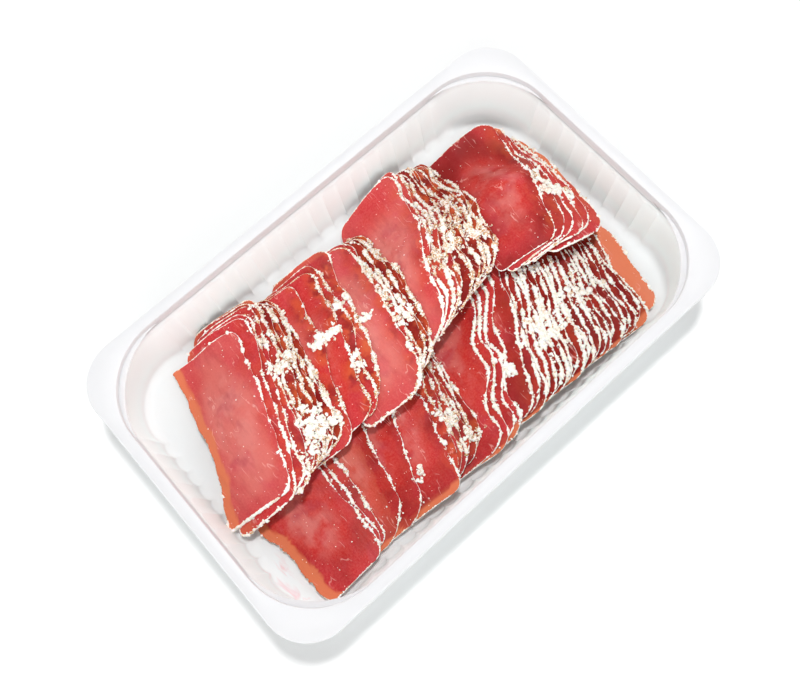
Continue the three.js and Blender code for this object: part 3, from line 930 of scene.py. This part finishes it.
print("steps along the first slice:", len(steps_along(first_slice)),
      "across it:", len(steps_across(exposed_width(first_slice))))

# %% [markdown]
# ## Faces of a slice
# The points come in three parts: the top grid, the bottom grid, and one point at every spot of
# the edge, pushed out by a fraction of a millimetre. Faces between the three close the slice, so
# it is a solid sheet that could be printed, and not two loose skins.

# %% Join the grid of a slice
def grid_faces(rows, columns):
    """Faces of the top, the bottom and the rounded edge band between them."""
    count = rows * columns
    faces = []
    for i in range(rows - 1):
        for j in range(columns - 1):
            a = i * columns + j
            faces.append([a, a + 1, a + columns + 1, a + columns])
            faces.append([count + a, count + a + columns, count + a + columns + 1, count + a + 1])
    rim = list(range(columns))
    rim += [i * columns + columns - 1 for i in range(1, rows)]
    rim += [(rows - 1) * columns + j for j in reversed(range(columns - 1))]
    rim += [i * columns for i in reversed(range(1, rows - 1))]
    for k, here in enumerate(rim):
        after = rim[(k + 1) % len(rim)]
        middle, middle_after = 2 * count + k, 2 * count + (k + 1) % len(rim)
        faces.append([here, middle, middle_after, after])
        faces.append([middle, count + here, count + after, middle_after])
    return faces, rim


print("faces of a grid of 3 by 3 points:", len(grid_faces(3, 3)[0]))

# %% [markdown]
# ## One slice of meat
# Gentle dents keep the gloss from running in one flat band. The marks for the meat's material are
# worked out here too, where it is known how far each point is from the rim and how many slices
# lie under it.

# %% Make one slice
EDGE_BULGE = 0.18
RIM_STRIP = 7
BAND_SOFTNESS = 1.2
ONE_LAYER_GLOW = 0.2
OWN_SHIFT = 0.037


def dents(x, y):
    """A gentle unevenness of the slices, in millimetres."""
    broad = 0.14 * np.sin(x / 7.3 + 0.6 * np.sin(y / 9)) * np.sin(y / 8.1 + 0.3)
    return broad + 0.09 * np.sin(x / 3.9 - y / 5.7)


def thin_mark(item, x, y, up, from_left):
    """1 where the tray shines through: in a band at the left, or where no slice lies under."""
    if item["band"]:
        ragged = 1 + 0.12 * np.sin(y / 3.1)
        narrowing = 1.1 - 0.35 * up / item["length"]
        return item["glow"] * ease((item["band"] * ragged * narrowing - from_left) / BAND_SOFTNESS)
    under = layers_under(item["stack"], x, y)
    return item["glow"] * np.where(under < 0.5, 1.0, np.where(under < 1.5, ONE_LAYER_GLOW, 0.0))


def make_slice(item, name, solid):
    """One slice as a closed sheet, in the place of the solid that it stands for."""
    steps = steps_along(item), steps_across(exposed_width(item))
    up, share = np.meshgrid(*steps, indexing="ij")
    faces, rim = grid_faces(*up.shape)
    left, right = bounds_across(item, up)
    across = left + (right - left) * share
    x, y = (values.ravel() for values in place_on_slice(item, across, up))
    up, share, across = up.ravel(), share.ravel(), across.ravel()

    upper = np.column_stack([x, y, top_height(item, x, y) + dents(x, y)])
    lower = upper - (0, 0, SLICE_THICKNESS)
    outward = upper[rim][:, :2] - upper[:, :2].mean(axis=0)
    outward /= np.linalg.norm(outward, axis=1)[:, None]
    edge = (upper[rim] + lower[rim]) / 2
    edge[:, :2] += EDGE_BULGE * outward
    points = np.concatenate([upper, lower, edge])

    on_grid = {"thin": thin_mark(item, x, y, up, share * SLICE_WIDTH),
               "rim": np.clip(1.3 - (SLICE_WIDTH - across) / RIM_STRIP, 0, 1),
               "heart": np.sin(np.pi * share) * np.sin(np.pi * up / item["length"])}
    marks = {mark: np.concatenate([values, values, values[rim]])
             for mark, values in on_grid.items()}
    for mark, value in (("tone_and_shade", item["tone_and_shade"]), ("rust", item["rust"]),
                        ("own", OWN_SHIFT * item["stack"])):
        marks[mark] = np.full(len(points), value)
    return make_piece(name, points, faces, CURED_MEAT, marks, [solid])


# %% [markdown]
# ## All slices of both rows
# Each slice here stands for a measured solid. In the tightest groups one solid is a double sheet
# that stands for two slices, so there the count of the solids runs slower than that of the
# slices.

# %% Make all slices
DOUBLE_SHEETS = {"lower": {5: 10}, "upper": {1: 3, 4: 5}}


def solids_of(row_name):
    """The solid that each slice stands for. DOUBLE_SHEETS counts them by group."""
    names, number = [], 0
    for index, group in enumerate(ROWS[row_name]["groups"]):
        for i in range(group["slices"]):
            second_of_pair = i < 2 * DOUBLE_SHEETS[row_name].get(index, 0) and i % 2 == 1
            number += 0 if second_of_pair else 1
            names.append(f"slice_{row_name}_{number:02d}")
    return names


for row_name in ROWS:
    for item, solid in zip(ROWS[row_name]["slices"], solids_of(row_name)):
        make_slice(item, f"loin_{row_name}_{item['order'] + 1:02d}", solid)
loins = [piece for piece in bpy.data.objects if piece.name.startswith("loin_")]
print("slices made:", len(loins), "points:", sum(len(piece.data.vertices) for piece in loins))

# %% [markdown]
# ## The crumbly coat
# The loin was rolled in a pale, floury coat before it was sliced, so the coat shows only as a
# ring round each slice, thick and lumpy on the long rim and thin on the ends. White grains,
# cream clumps and small tan scorched dots lie side by side. The colour comes from a value stored
# on each grain, with noise on top so that no two look alike.

# %% Coat material
tree, shader = new_material("crumbly_coat", Roughness=0.85, IOR=1.45, Subsurface_Weight=0.15,
                            Subsurface_Scale=0.001)
place = add(tree, "ShaderNodeTexCoord").outputs["Object"]
toast = add(tree, "ShaderNodeAttribute", attribute_name="toast").outputs["Fac"]
colour = paint(tree, between(tree, grain(tree, place, 1.4, 3), 0.35, 0.65),
               screen_colour(250, 249, 246), 248, 238, 224)
tan = times(tree, between(tree, toast, 0.3, 0.85),
            between(tree, grain(tree, place, 0.8, 2), 0.42, 0.56))
colour = paint(tree, tan, colour, 206, 154, 100)
brown = times(tree, between(tree, toast, 0.7, 1.0),
              between(tree, grain(tree, place, 0.6, 1), 0.53, 0.64))
colour = paint(tree, brown, colour, 140, 84, 44)
tree.links.new(colour, shader.inputs["Base Color"])
bump = add(tree, "ShaderNodeBump", {
    "Height": grain(tree, place, 0.5, 3, 0.7), "Strength": 0.6, "Distance": 0.0002})
tree.links.new(bump.outputs[0], shader.inputs["Normal"])
CRUMBLY_COAT = bpy.data.materials["crumbly_coat"]
print("material:", CRUMBLY_COAT.name, len(tree.nodes), "nodes")

# %% [markdown]
# ## The line of the coat
# Walking once round a slice gives the line that the coat follows, in even steps. At each step the
# coat has a radius, which depends on the side it is on: thick on the raised rim, thinner on the
# ends, and a mere trace on the left edge.

# %% Walk round a slice
COAT_STEP = 0.55
CORNER_STEPS = 7
RIM_COAT, FAR_COAT = 0.56, 0.36


def outline_of(item):
    """Points round a slice, across and up it, from the near corner of its rim."""
    far, stops = item["length"], []
    corners = [(SLICE_WIDTH - item["round"], item["round"], item["round"]),
               (SLICE_WIDTH - item["far_round"], far - item["far_round"], item["far_round"]),
               (item["left_round"], far - item["left_round"], item["left_round"]),
               (item["left_round"], item["left_round"], item["left_round"])]
    for turn, (across, up, radius) in enumerate(corners):
        for k in range(CORNER_STEPS + 1):
            angle = math.radians(90 * (turn - 1) + 90 * k / CORNER_STEPS)
            stops.append((across + radius * math.cos(angle), up + radius * math.sin(angle)))
    return np.array(stops + stops[:1])


def walk_round(item):
    """Even steps round a slice: places, the coat's radius there and which side it is on."""
    stops = outline_of(item)
    walked = np.concatenate([[0], np.cumsum(np.linalg.norm(np.diff(stops, axis=0), axis=1))])
    at = np.linspace(0, walked[-1], int(walked[-1] / COAT_STEP), endpoint=False)
    across, up = np.interp(at, walked, stops[:, 0]), np.interp(at, walked, stops[:, 1])
    x, y = place_on_slice(item, across, up)
    to_far, to_middle = item["length"] - up, item["length"] / 2 - up
    near_rim = ease((across - SLICE_WIDTH + 5) / 4) * ease(up / 5) * ease(to_far / 9)
    near_left = ease((4 - across) / 3) * ease((up - 2) / 5)
    end = FAR_COAT + (item["end_coat"] - FAR_COAT) * ease(to_middle / 10)
    on_rim = RIM_COAT * item["coat"] + item["near_coat"] * ease((30 - up) / 10)
    radius = end + (on_rim - end) * near_rim
    radius += (item["left_coat"] - radius) * near_left
    near_end = (1 - near_rim) * (1 - near_left) * ease((8 - up) / 3)
    return x, y, radius, near_rim, near_end, near_left


print("steps round one slice:", len(walk_round(first_slice)[0]))

# %% [markdown]
# ## Swellings and bare places
# A radius that swells and shrinks at random reads as crumb at once, where an even tube would read
# as icing. Smooth noise gives swellings that are a few millimetres long, a slower noise decides
# where the coat is heaped and where it fell off, and a seeded jitter roughens every step.

# %% Vary the coat's radius
HEAPED = 2.4
THINNEST_COAT = 0.1


def wander(steps, spacing, seed):
    """Smooth random numbers from about -1 to 1, one for each step of a walk."""
    return np.array([noise.noise((k * COAT_STEP / spacing, seed * 3.7, 1.3)) * 1.8
                     for k in range(steps)])


def patches_of(item, count):
    """Around 1 where the coat is whole, up to HEAPED, and 0 where it fell off."""
    drift = wander(count, 5.5, item["stack"] + 900)
    return np.clip(1 + (0.7 + 1.7 * item["broken"]) * drift, 0, HEAPED)


def coat_radius(item, radius, near_rim):
    """The radius with its swellings, and the bare places where the coat has fallen off."""
    count, seed = len(radius), item["stack"] + 1
    swell = 1 + 0.3 * wander(count, 2.2, seed)
    jitter = 1 + (0.12 + 0.28 * near_rim) * chance.uniform(-1, 1, count)
    patchy = 1 + near_rim * (np.clip(0.4 + 0.6 * patches_of(item, count), 0.3, 1.35) - 1)
    return np.maximum(radius * swell * jitter * patchy, THINNEST_COAT)


heaviest = max(STACK, key=lambda entry: entry[1]["coat"])[1]
print("patches on the most heavily coated slice:", patches_of(heaviest, 12).round(1))

# %% [markdown]
# ## A tube for each stretch
# The coat is a tube of small rings, each ring joined to the next and knocked out of round. Where
# other slices hide it, it is left out, and each visible stretch tapers to a point where it goes
# under its neighbour.

# %% Draw one stretch of the coat
RING_SIDES = 6
SHORTEST_RUN = 6


def runs_of(shown):
    """Start and end of each unbroken run of True values, with short breaks closed."""
    wide = np.convolve(shown.astype(float), np.ones(5), "same") > 0
    changes = np.flatnonzero(np.diff(np.concatenate([[0], wide.astype(int), [0]])))
    return [(a, b) for a, b in zip(changes[::2], changes[1::2])
            if b - a > SHORTEST_RUN]


def cord_along(centres, radius, first_point):
    """A closed lumpy tube of rings along the centres."""
    count = len(centres)
    ahead = np.gradient(centres, axis=0)
    ahead /= np.linalg.norm(ahead, axis=1)[:, None]
    side = np.cross(ahead, (0, 0, 1))
    side /= np.linalg.norm(side, axis=1)[:, None]
    raised = np.cross(side, ahead)
    angles = np.linspace(0, 2 * math.pi, RING_SIDES, endpoint=False)
    lumps = chance.uniform(0.72, 1.3, (count, RING_SIDES))
    reach = radius[:, None] * lumps
    points = (centres[:, None] + side[:, None] * (reach * np.cos(angles))[:, :, None]
              + raised[:, None] * (reach * np.sin(angles))[:, :, None]).reshape(-1, 3)
    faces = [[first_point + k for k in reversed(range(RING_SIDES))]]
    for ring in range(count - 1):
        for k in range(RING_SIDES):
            a = first_point + ring * RING_SIDES + k
            b = first_point + ring * RING_SIDES + (k + 1) % RING_SIDES
            faces.append([a, b, b + RING_SIDES, a + RING_SIDES])
    last = first_point + (count - 1) * RING_SIDES
    faces.append([last + k for k in range(RING_SIDES)])
    return points, faces


print("stretches in a test row of steps:", runs_of(np.arange(40) % 20 > 9))

# %% [markdown]
# ## The coat of each row
# All stretches of a row are joined into one mesh, because hundreds of small objects would slow
# Blender down. The tan tinge, `toast`, drifts along each stretch and is stronger beside browned
# meat. What the walk found is kept, because the lumps and grains follow the same rims.

# %% Lay the coat round every slice
UNDER_NEIGHBOUR = 1.5


def lay_coat(row_name):
    """The coat of one row as one piece; gives back the rims for the lumps."""
    all_points, all_faces, toasts, rims = [], [], [], []
    total = 0
    for item in ROWS[row_name]["slices"]:
        x, y, radius, near_rim, near_end, near_left = walk_round(item)
        radius = coat_radius(item, radius, near_rim)
        shown = ~hidden_by(item["stack"], x, y, UNDER_NEIGHBOUR)
        z = top_height(item, x, y) + dents(x, y) - SLICE_THICKNESS / 2 + 0.12 * radius
        rims.append(dict(item=item, x=x, y=y, z=z, radius=radius, shown=shown,
                         near_rim=near_rim, near_end=near_end))
        for start, end in runs_of(shown):
            to_tip = np.minimum(np.arange(end - start), np.arange(end - start)[::-1])
            taper = np.clip(to_tip / 3 + 0.15, 0, 1)
            centres = np.column_stack([x, y, z])[start:end]
            points, faces = cord_along(centres, radius[start:end] * taper, total)
            all_points.append(points)
            all_faces += faces
            drift = wander(end - start, 11, item["stack"] + 70 + start)
            toast = 0.1 + 0.6 * item["rust"] + 0.35 * drift
            toast = toast + near_left[start:end] * (item["band"] > 0)
            toasts.append(np.repeat(np.clip(toast, 0, 1), RING_SIDES))
            total += len(points)
    make_piece(f"coat_{row_name}", np.concatenate(all_points), all_faces, CRUMBLY_COAT,
               {"toast": np.concatenate(toasts)})
    print("coat on the", row_name, "row:", total, "points")
    return rims


COAT_RIMS = lay_coat("upper") + lay_coat("lower")

# %% [markdown]
# ## Grains and lumps
# A broken coat sheds lumps, some as fine as sand and some as large as a rice grain. A puffed,
# popcorn-like lump is a ball whose surface is pushed in and out by a few slow waves; a fine grain
# is a ball knocked out of round. Thousands of them are joined into a few meshes, which is much
# lighter for Blender than thousands of objects.

# %% Helper that joins lumps
PUFFS = ((0.26, 2.0), (0.24, 4.0), (0.16, 7.0))


def ball(level):
    """Corners and faces of an even ball of radius 1."""
    shape = bmesh.new()
    bmesh.ops.create_icosphere(shape, subdivisions=level, radius=1)
    points = np.array([vertex.co[:] for vertex in shape.verts])
    faces = np.array([[vertex.index for vertex in face.verts] for face in shape.faces])
    shape.free()
    return points, faces


def puffed(template, count):
    """How far each corner of each ball is pushed in or out."""
    push = np.ones((count, len(template)))
    for strength, waves in PUFFS:
        direction = chance.normal(0, waves / 1.7, (count, 3))
        phase = chance.uniform(0, 2 * math.pi, (count, 1))
        push += strength * np.sin(direction @ template.T + phase)
    return push[..., None]


def join_lumps(name, centres, radii, toasts, level=1):
    """One mesh of puffed balls, one for each centre."""
    template, template_faces = ball(level)
    count, corners = len(centres), len(template)
    stretch = chance.uniform((0.7, 0.7, 0.5), (1.5, 1.5, 0.95), (count, 1, 3))
    shapes = template[None] * puffed(template, count) * stretch
    points = np.asarray(centres)[:, None] + shapes * np.asarray(radii)[:, None, None]
    faces = template_faces[None] + (np.arange(count) * corners)[:, None, None]
    make_piece(name, points.reshape(-1, 3), faces.reshape(-1, 3).tolist(), CRUMBLY_COAT,
               {"toast": np.repeat(toasts, corners)})
    print(name, count, "lumps,", count * len(template_faces), "triangles")


print("corners of a coarse and of a fine lump:", len(ball(1)[0]), len(ball(2)[0]))

# %% [markdown]
# ## Lumps and grains on the rims
# Each step of a visible rim draws how many lumps sit there, more where the coat is heaped and none
# where it fell off. Lumps and grains differ only in number, size and scatter, so one function
# makes both. Their sizes follow a lognormal law, as broken things do: many small and a few large.

# %% Set lumps and grains on the coated rims
KINDS_ON_RIMS = {
    "lumps": dict(per_mm=1.2, size=0.4, scatter=0.36, smallest=0.2, largest=0.72),
    "grains": dict(per_mm=0.75, size=0.22, scatter=0.6, smallest=0.12, largest=0.45),
}


def on_rims(row_name, per_mm, size, scatter, smallest, largest):
    """Places, radii and toast of lumps along all rims of a row that can be seen."""
    places, radii, toasts = [], [], []
    for rim in COAT_RIMS:
        item = rim["item"]
        if item["row"] != row_name:
            continue
        patch = patches_of(item, len(rim["x"]))
        at_end = rim["near_end"] * np.clip(4 * (item["end_coat"] - FAR_COAT), 0, 1)
        weight = rim["shown"] * (0.03 + rim["near_rim"] + at_end) * patch * item["coat"] ** 2
        index = np.repeat(np.arange(len(weight)), chance.poisson(weight * per_mm * COAT_STEP))
        radius = np.clip(chance.lognormal(math.log(size), 0.34, len(index)), smallest, largest)
        radius *= 0.65 + 0.35 * patch[index]
        aside = chance.normal(0, scatter, (len(index), 2))
        lift = 0.35 * radius + 0.3 * rim["radius"][index]
        x, y, z = (rim[axis][index] for axis in "xyz")
        places.append(np.column_stack([x + aside[:, 0] + 0.1, y + aside[:, 1], z + lift]))
        radii.append(radius)
        toast = chance.normal(0.1 + 0.5 * item["rust"], 0.25, len(index))
        toasts.append(np.clip(toast, 0, 1))
    return np.concatenate(places), np.concatenate(radii), np.concatenate(toasts)


for row_name in ROWS:
    for kind, sizes in KINDS_ON_RIMS.items():
        join_lumps(f"rim_{kind}_{row_name}", *on_rims(row_name, **sizes))

# %% [markdown]
# ## Heaps of crumbs
# Where the coat broke away in pieces, crumbs lie in heaps: a big white one low on the left, a
# broad cream one across the tight group, and smaller ones between. Each heap is a place, a
# spread and a number of flakes, and each flake is a few lumps stuck together. They are dropped
# on the pile's own height, so that they lie on the slices from any side.

# %% List the heaps
# Each heap: x, y, spread along x, spread along y, flakes, lump size, toast
HEAPS = [
    (-61, -5, 5.5, 6.0, 50, 0.7, 0.1),
    (-69, -12, 5.0, 3.5, 20, 0.65, 0.15),
    (-56, 27, 5.5, 3.2, 20, 0.6, 0.4),
    (-47, 29, 3.5, 2.5, 14, 0.7, 0.35),
    (-34, 24, 4.0, 2.6, 16, 0.8, 0.1),
    (-25, 23, 2.6, 3.6, 13, 0.65, 0.35),
    (-12, 34, 2.6, 2.4, 7, 0.75, 0.3),
    (-11, 18, 4.0, 1.6, 10, 0.75, 0.3),
    (-27, 5, 2.6, 5.0, 14, 0.6, 0.3),
    (6, 20, 4.0, 7.0, 22, 0.55, 0.7),
    (4, 4, 4.5, 4.5, 18, 0.6, 0.45),
    (50, 24, 10, 7.5, 74, 0.52, 0.9),
    (36, 14, 6.0, 4.5, 36, 0.58, 0.65),
    (56, 12, 7.5, 4.0, 24, 0.5, 0.6),
    (60, 36, 5.0, 5.0, 22, 0.55, 0.6),
    (100, 14, 3.0, 7.0, 18, 0.6, 0.35),
    (104, 3, 4.0, 6.0, 26, 0.7, 0.3),
    (-39, -53, 2.4, 2.6, 9, 0.7, 0.3),
    (-12, -44, 5.0, 4.5, 26, 0.6, 0.5),
    (-8, -56, 4.5, 3.5, 16, 0.55, 0.4),
    (25, -45, 2.4, 4.2, 14, 0.8, 0.1),
    (50, -42, 9.0, 9.0, 60, 0.6, 0.25),
    (76, -36, 11.0, 9.0, 34, 0.5, 0.35),
]
print("heaps:", len(HEAPS), "flakes:", sum(heap[4] for heap in HEAPS))

# %% [markdown]
# ## From heaps to lumps
# Crumbs come to rest on whatever slice is uppermost below them, so each one is set on the pile's
# own height, and those that would miss the meat are left out. In the middle of a heap some are
# lifted onto others. Large lumps get a finer ball than small ones, which saves faces.

# %% Drop the heaps
LUMPS_PER_FLAKE = 5
SUNK_IN = 0.4
LARGE_LUMP = 0.5


def drop(x, y, radius):
    """Heights for crumbs dropped on the pile, and whether they hit meat."""
    height, owner = pile_top(x, y)
    return height + SUNK_IN * radius, owner < len(STACK)


def per_lump(values):
    return np.repeat(values, LUMPS_PER_FLAKE)


def heap_lumps(heap_x, heap_y, wide, deep, flakes, size, toast):
    """Place, radius and toast of each lump of one heap."""
    flake_x = per_lump(heap_x + chance.normal(0, wide / 1.7, flakes))
    flake_y = per_lump(heap_y + chance.normal(0, deep / 1.7, flakes))
    flake_size = per_lump(chance.lognormal(0, 0.35, flakes))
    count = len(flake_x)
    radius = np.clip(size * flake_size * chance.uniform(0.55, 1.1, count), 0.2, 1.5)
    x = flake_x + chance.normal(0, 1, count) * size * flake_size * 1.1
    y = flake_y + chance.normal(0, 1, count) * size * flake_size * 0.9
    z, on_meat = drop(x, y, radius)
    middle = np.exp(-((x - heap_x) / wide) ** 2 - ((y - heap_y) / deep) ** 2)
    z = z + chance.uniform(0, 1, count) * middle * size * 0.7
    toasts = np.clip(toast + per_lump(chance.normal(0, 0.25, flakes)), 0, 1)
    return np.column_stack([x, y, z, radius, toasts])[on_meat]


heaped = np.concatenate([heap_lumps(*heap) for heap in HEAPS])
large = heaped[:, 3] > LARGE_LUMP
for name, some, level in (("heaped_lumps", heaped[large], 2), ("heaped_crumbs", heaped[~large], 1)):
    join_lumps(name, some[:, :3], some[:, 3], some[:, 4], level)

# %% [markdown]
# ## Stray crumbs
# A few crumbs lie alone on the wide slices, and along the orange left edges, where only a trace
# of the coat is left. They are few, but without them the meat looks wiped clean.

# %% Scatter stray crumbs
STRAY_COUNT = 700
STRAY_RADIUS, STRAY_SMALLEST, STRAY_LARGEST = 0.13, 0.07, 0.35
PILE_REACH_X, PILE_REACH_Y = 118, 68

x = chance.uniform(-PILE_REACH_X, PILE_REACH_X, STRAY_COUNT)
y = chance.uniform(-PILE_REACH_Y, PILE_REACH_Y, STRAY_COUNT)
radius = chance.lognormal(math.log(STRAY_RADIUS), 0.4, STRAY_COUNT)
radius = np.clip(radius, STRAY_SMALLEST, STRAY_LARGEST)
z, on_meat = drop(x, y, radius)
join_lumps("stray_crumbs", np.column_stack([x, y, z])[on_meat], radius[on_meat],
           chance.uniform(0, 0.6, STRAY_COUNT)[on_meat])

# %% [markdown]
# ## Table
# The pack stands on a plain white table that is lit until it burns out, so only the narrow shadow
# beside the tray shows where it stands. A single large face does, because its edges are far out
# of sight. It belongs to the stage and not to the pack.

# %% Lay the table
TABLE_SIZE, TABLE_GLOW = 6.0, 0.02

tree, shader = new_material("white_table", Roughness=0.6, Emission_Color=(1, 1, 1, 1),
                            Emission_Strength=TABLE_GLOW)
place = add(tree, "ShaderNodeTexCoord").outputs["Object"]
paper = paint(tree, grain(tree, place, 60, 2), screen_colour(224, 224, 224), 226, 226, 226)
tree.links.new(paper, shader.inputs["Base Color"])

half = TABLE_SIZE / 2
table_corners = [(-half, -half, 0), (half, -half, 0), (half, half, 0), (-half, half, 0)]
table_mesh = bpy.data.meshes.new("table")
table_mesh.from_pydata(table_corners, [], [(0, 1, 2, 3)])
table_mesh.materials.append(bpy.data.materials["white_table"])
table = bpy.data.objects.new("table", table_mesh)
bpy.context.scene.collection.objects.link(table)
print("table:", TABLE_SIZE, "m square")

# %% [markdown]
# ## Light
# A small lamp hangs high on the far right and draws the shadow, and a broad one fills from the
# near left. Both are turned towards the middle of the pack. The surround is brighter towards the
# horizon than overhead, which sends light onto the steep walls of the tray.

# %% Hang the lamps
LAMPS = {"key": dict(place=(0.23, 0.16, 1.5), width=0.14, power=13.4),
         "fill": dict(place=(-0.9, -1.0, 1.0), width=1.2, power=8)}
HORIZON_LIGHT, OVERHEAD_LIGHT = 1.85, 0.2

for name, lamp in LAMPS.items():
    light = bpy.data.lights.new(name, "AREA")
    light.shape = "SQUARE"
    light.size = lamp["width"]
    light.energy = lamp["power"]
    hanging = bpy.data.objects.new(name, light)
    hanging.location = lamp["place"]
    hanging.rotation_euler = (-Vector(lamp["place"])).to_track_quat("-Z", "Y").to_euler()
    bpy.context.scene.collection.objects.link(hanging)
    print("lamp:", name, lamp["power"], "W")

# %% [markdown]
# ## Surround
# The world's strength is eased with the height of the direction that is looked in. Colours are
# shown as they are, without a film-like curve, because the whites have to stay white.

# %% Light the surround
world = bpy.data.worlds.new("white_surround")
world.use_nodes = True
sky = world.node_tree
background = sky.nodes["Background"].inputs
direction = add(sky, "ShaderNodeTexCoord").outputs["Generated"]
height = add(sky, "ShaderNodeSeparateXYZ", {0: direction}).outputs["Z"]
strength = between(sky, height, 0.0, 1.0, HORIZON_LIGHT, OVERHEAD_LIGHT)
sky.links.new(strength, background["Strength"])
background["Color"].default_value = (1, 1, 1, 1)
bpy.context.scene.world = world
bpy.context.scene.view_settings.view_transform = "Standard"
print("surround:", HORIZON_LIGHT, "at the horizon,", OVERHEAD_LIGHT, "overhead")
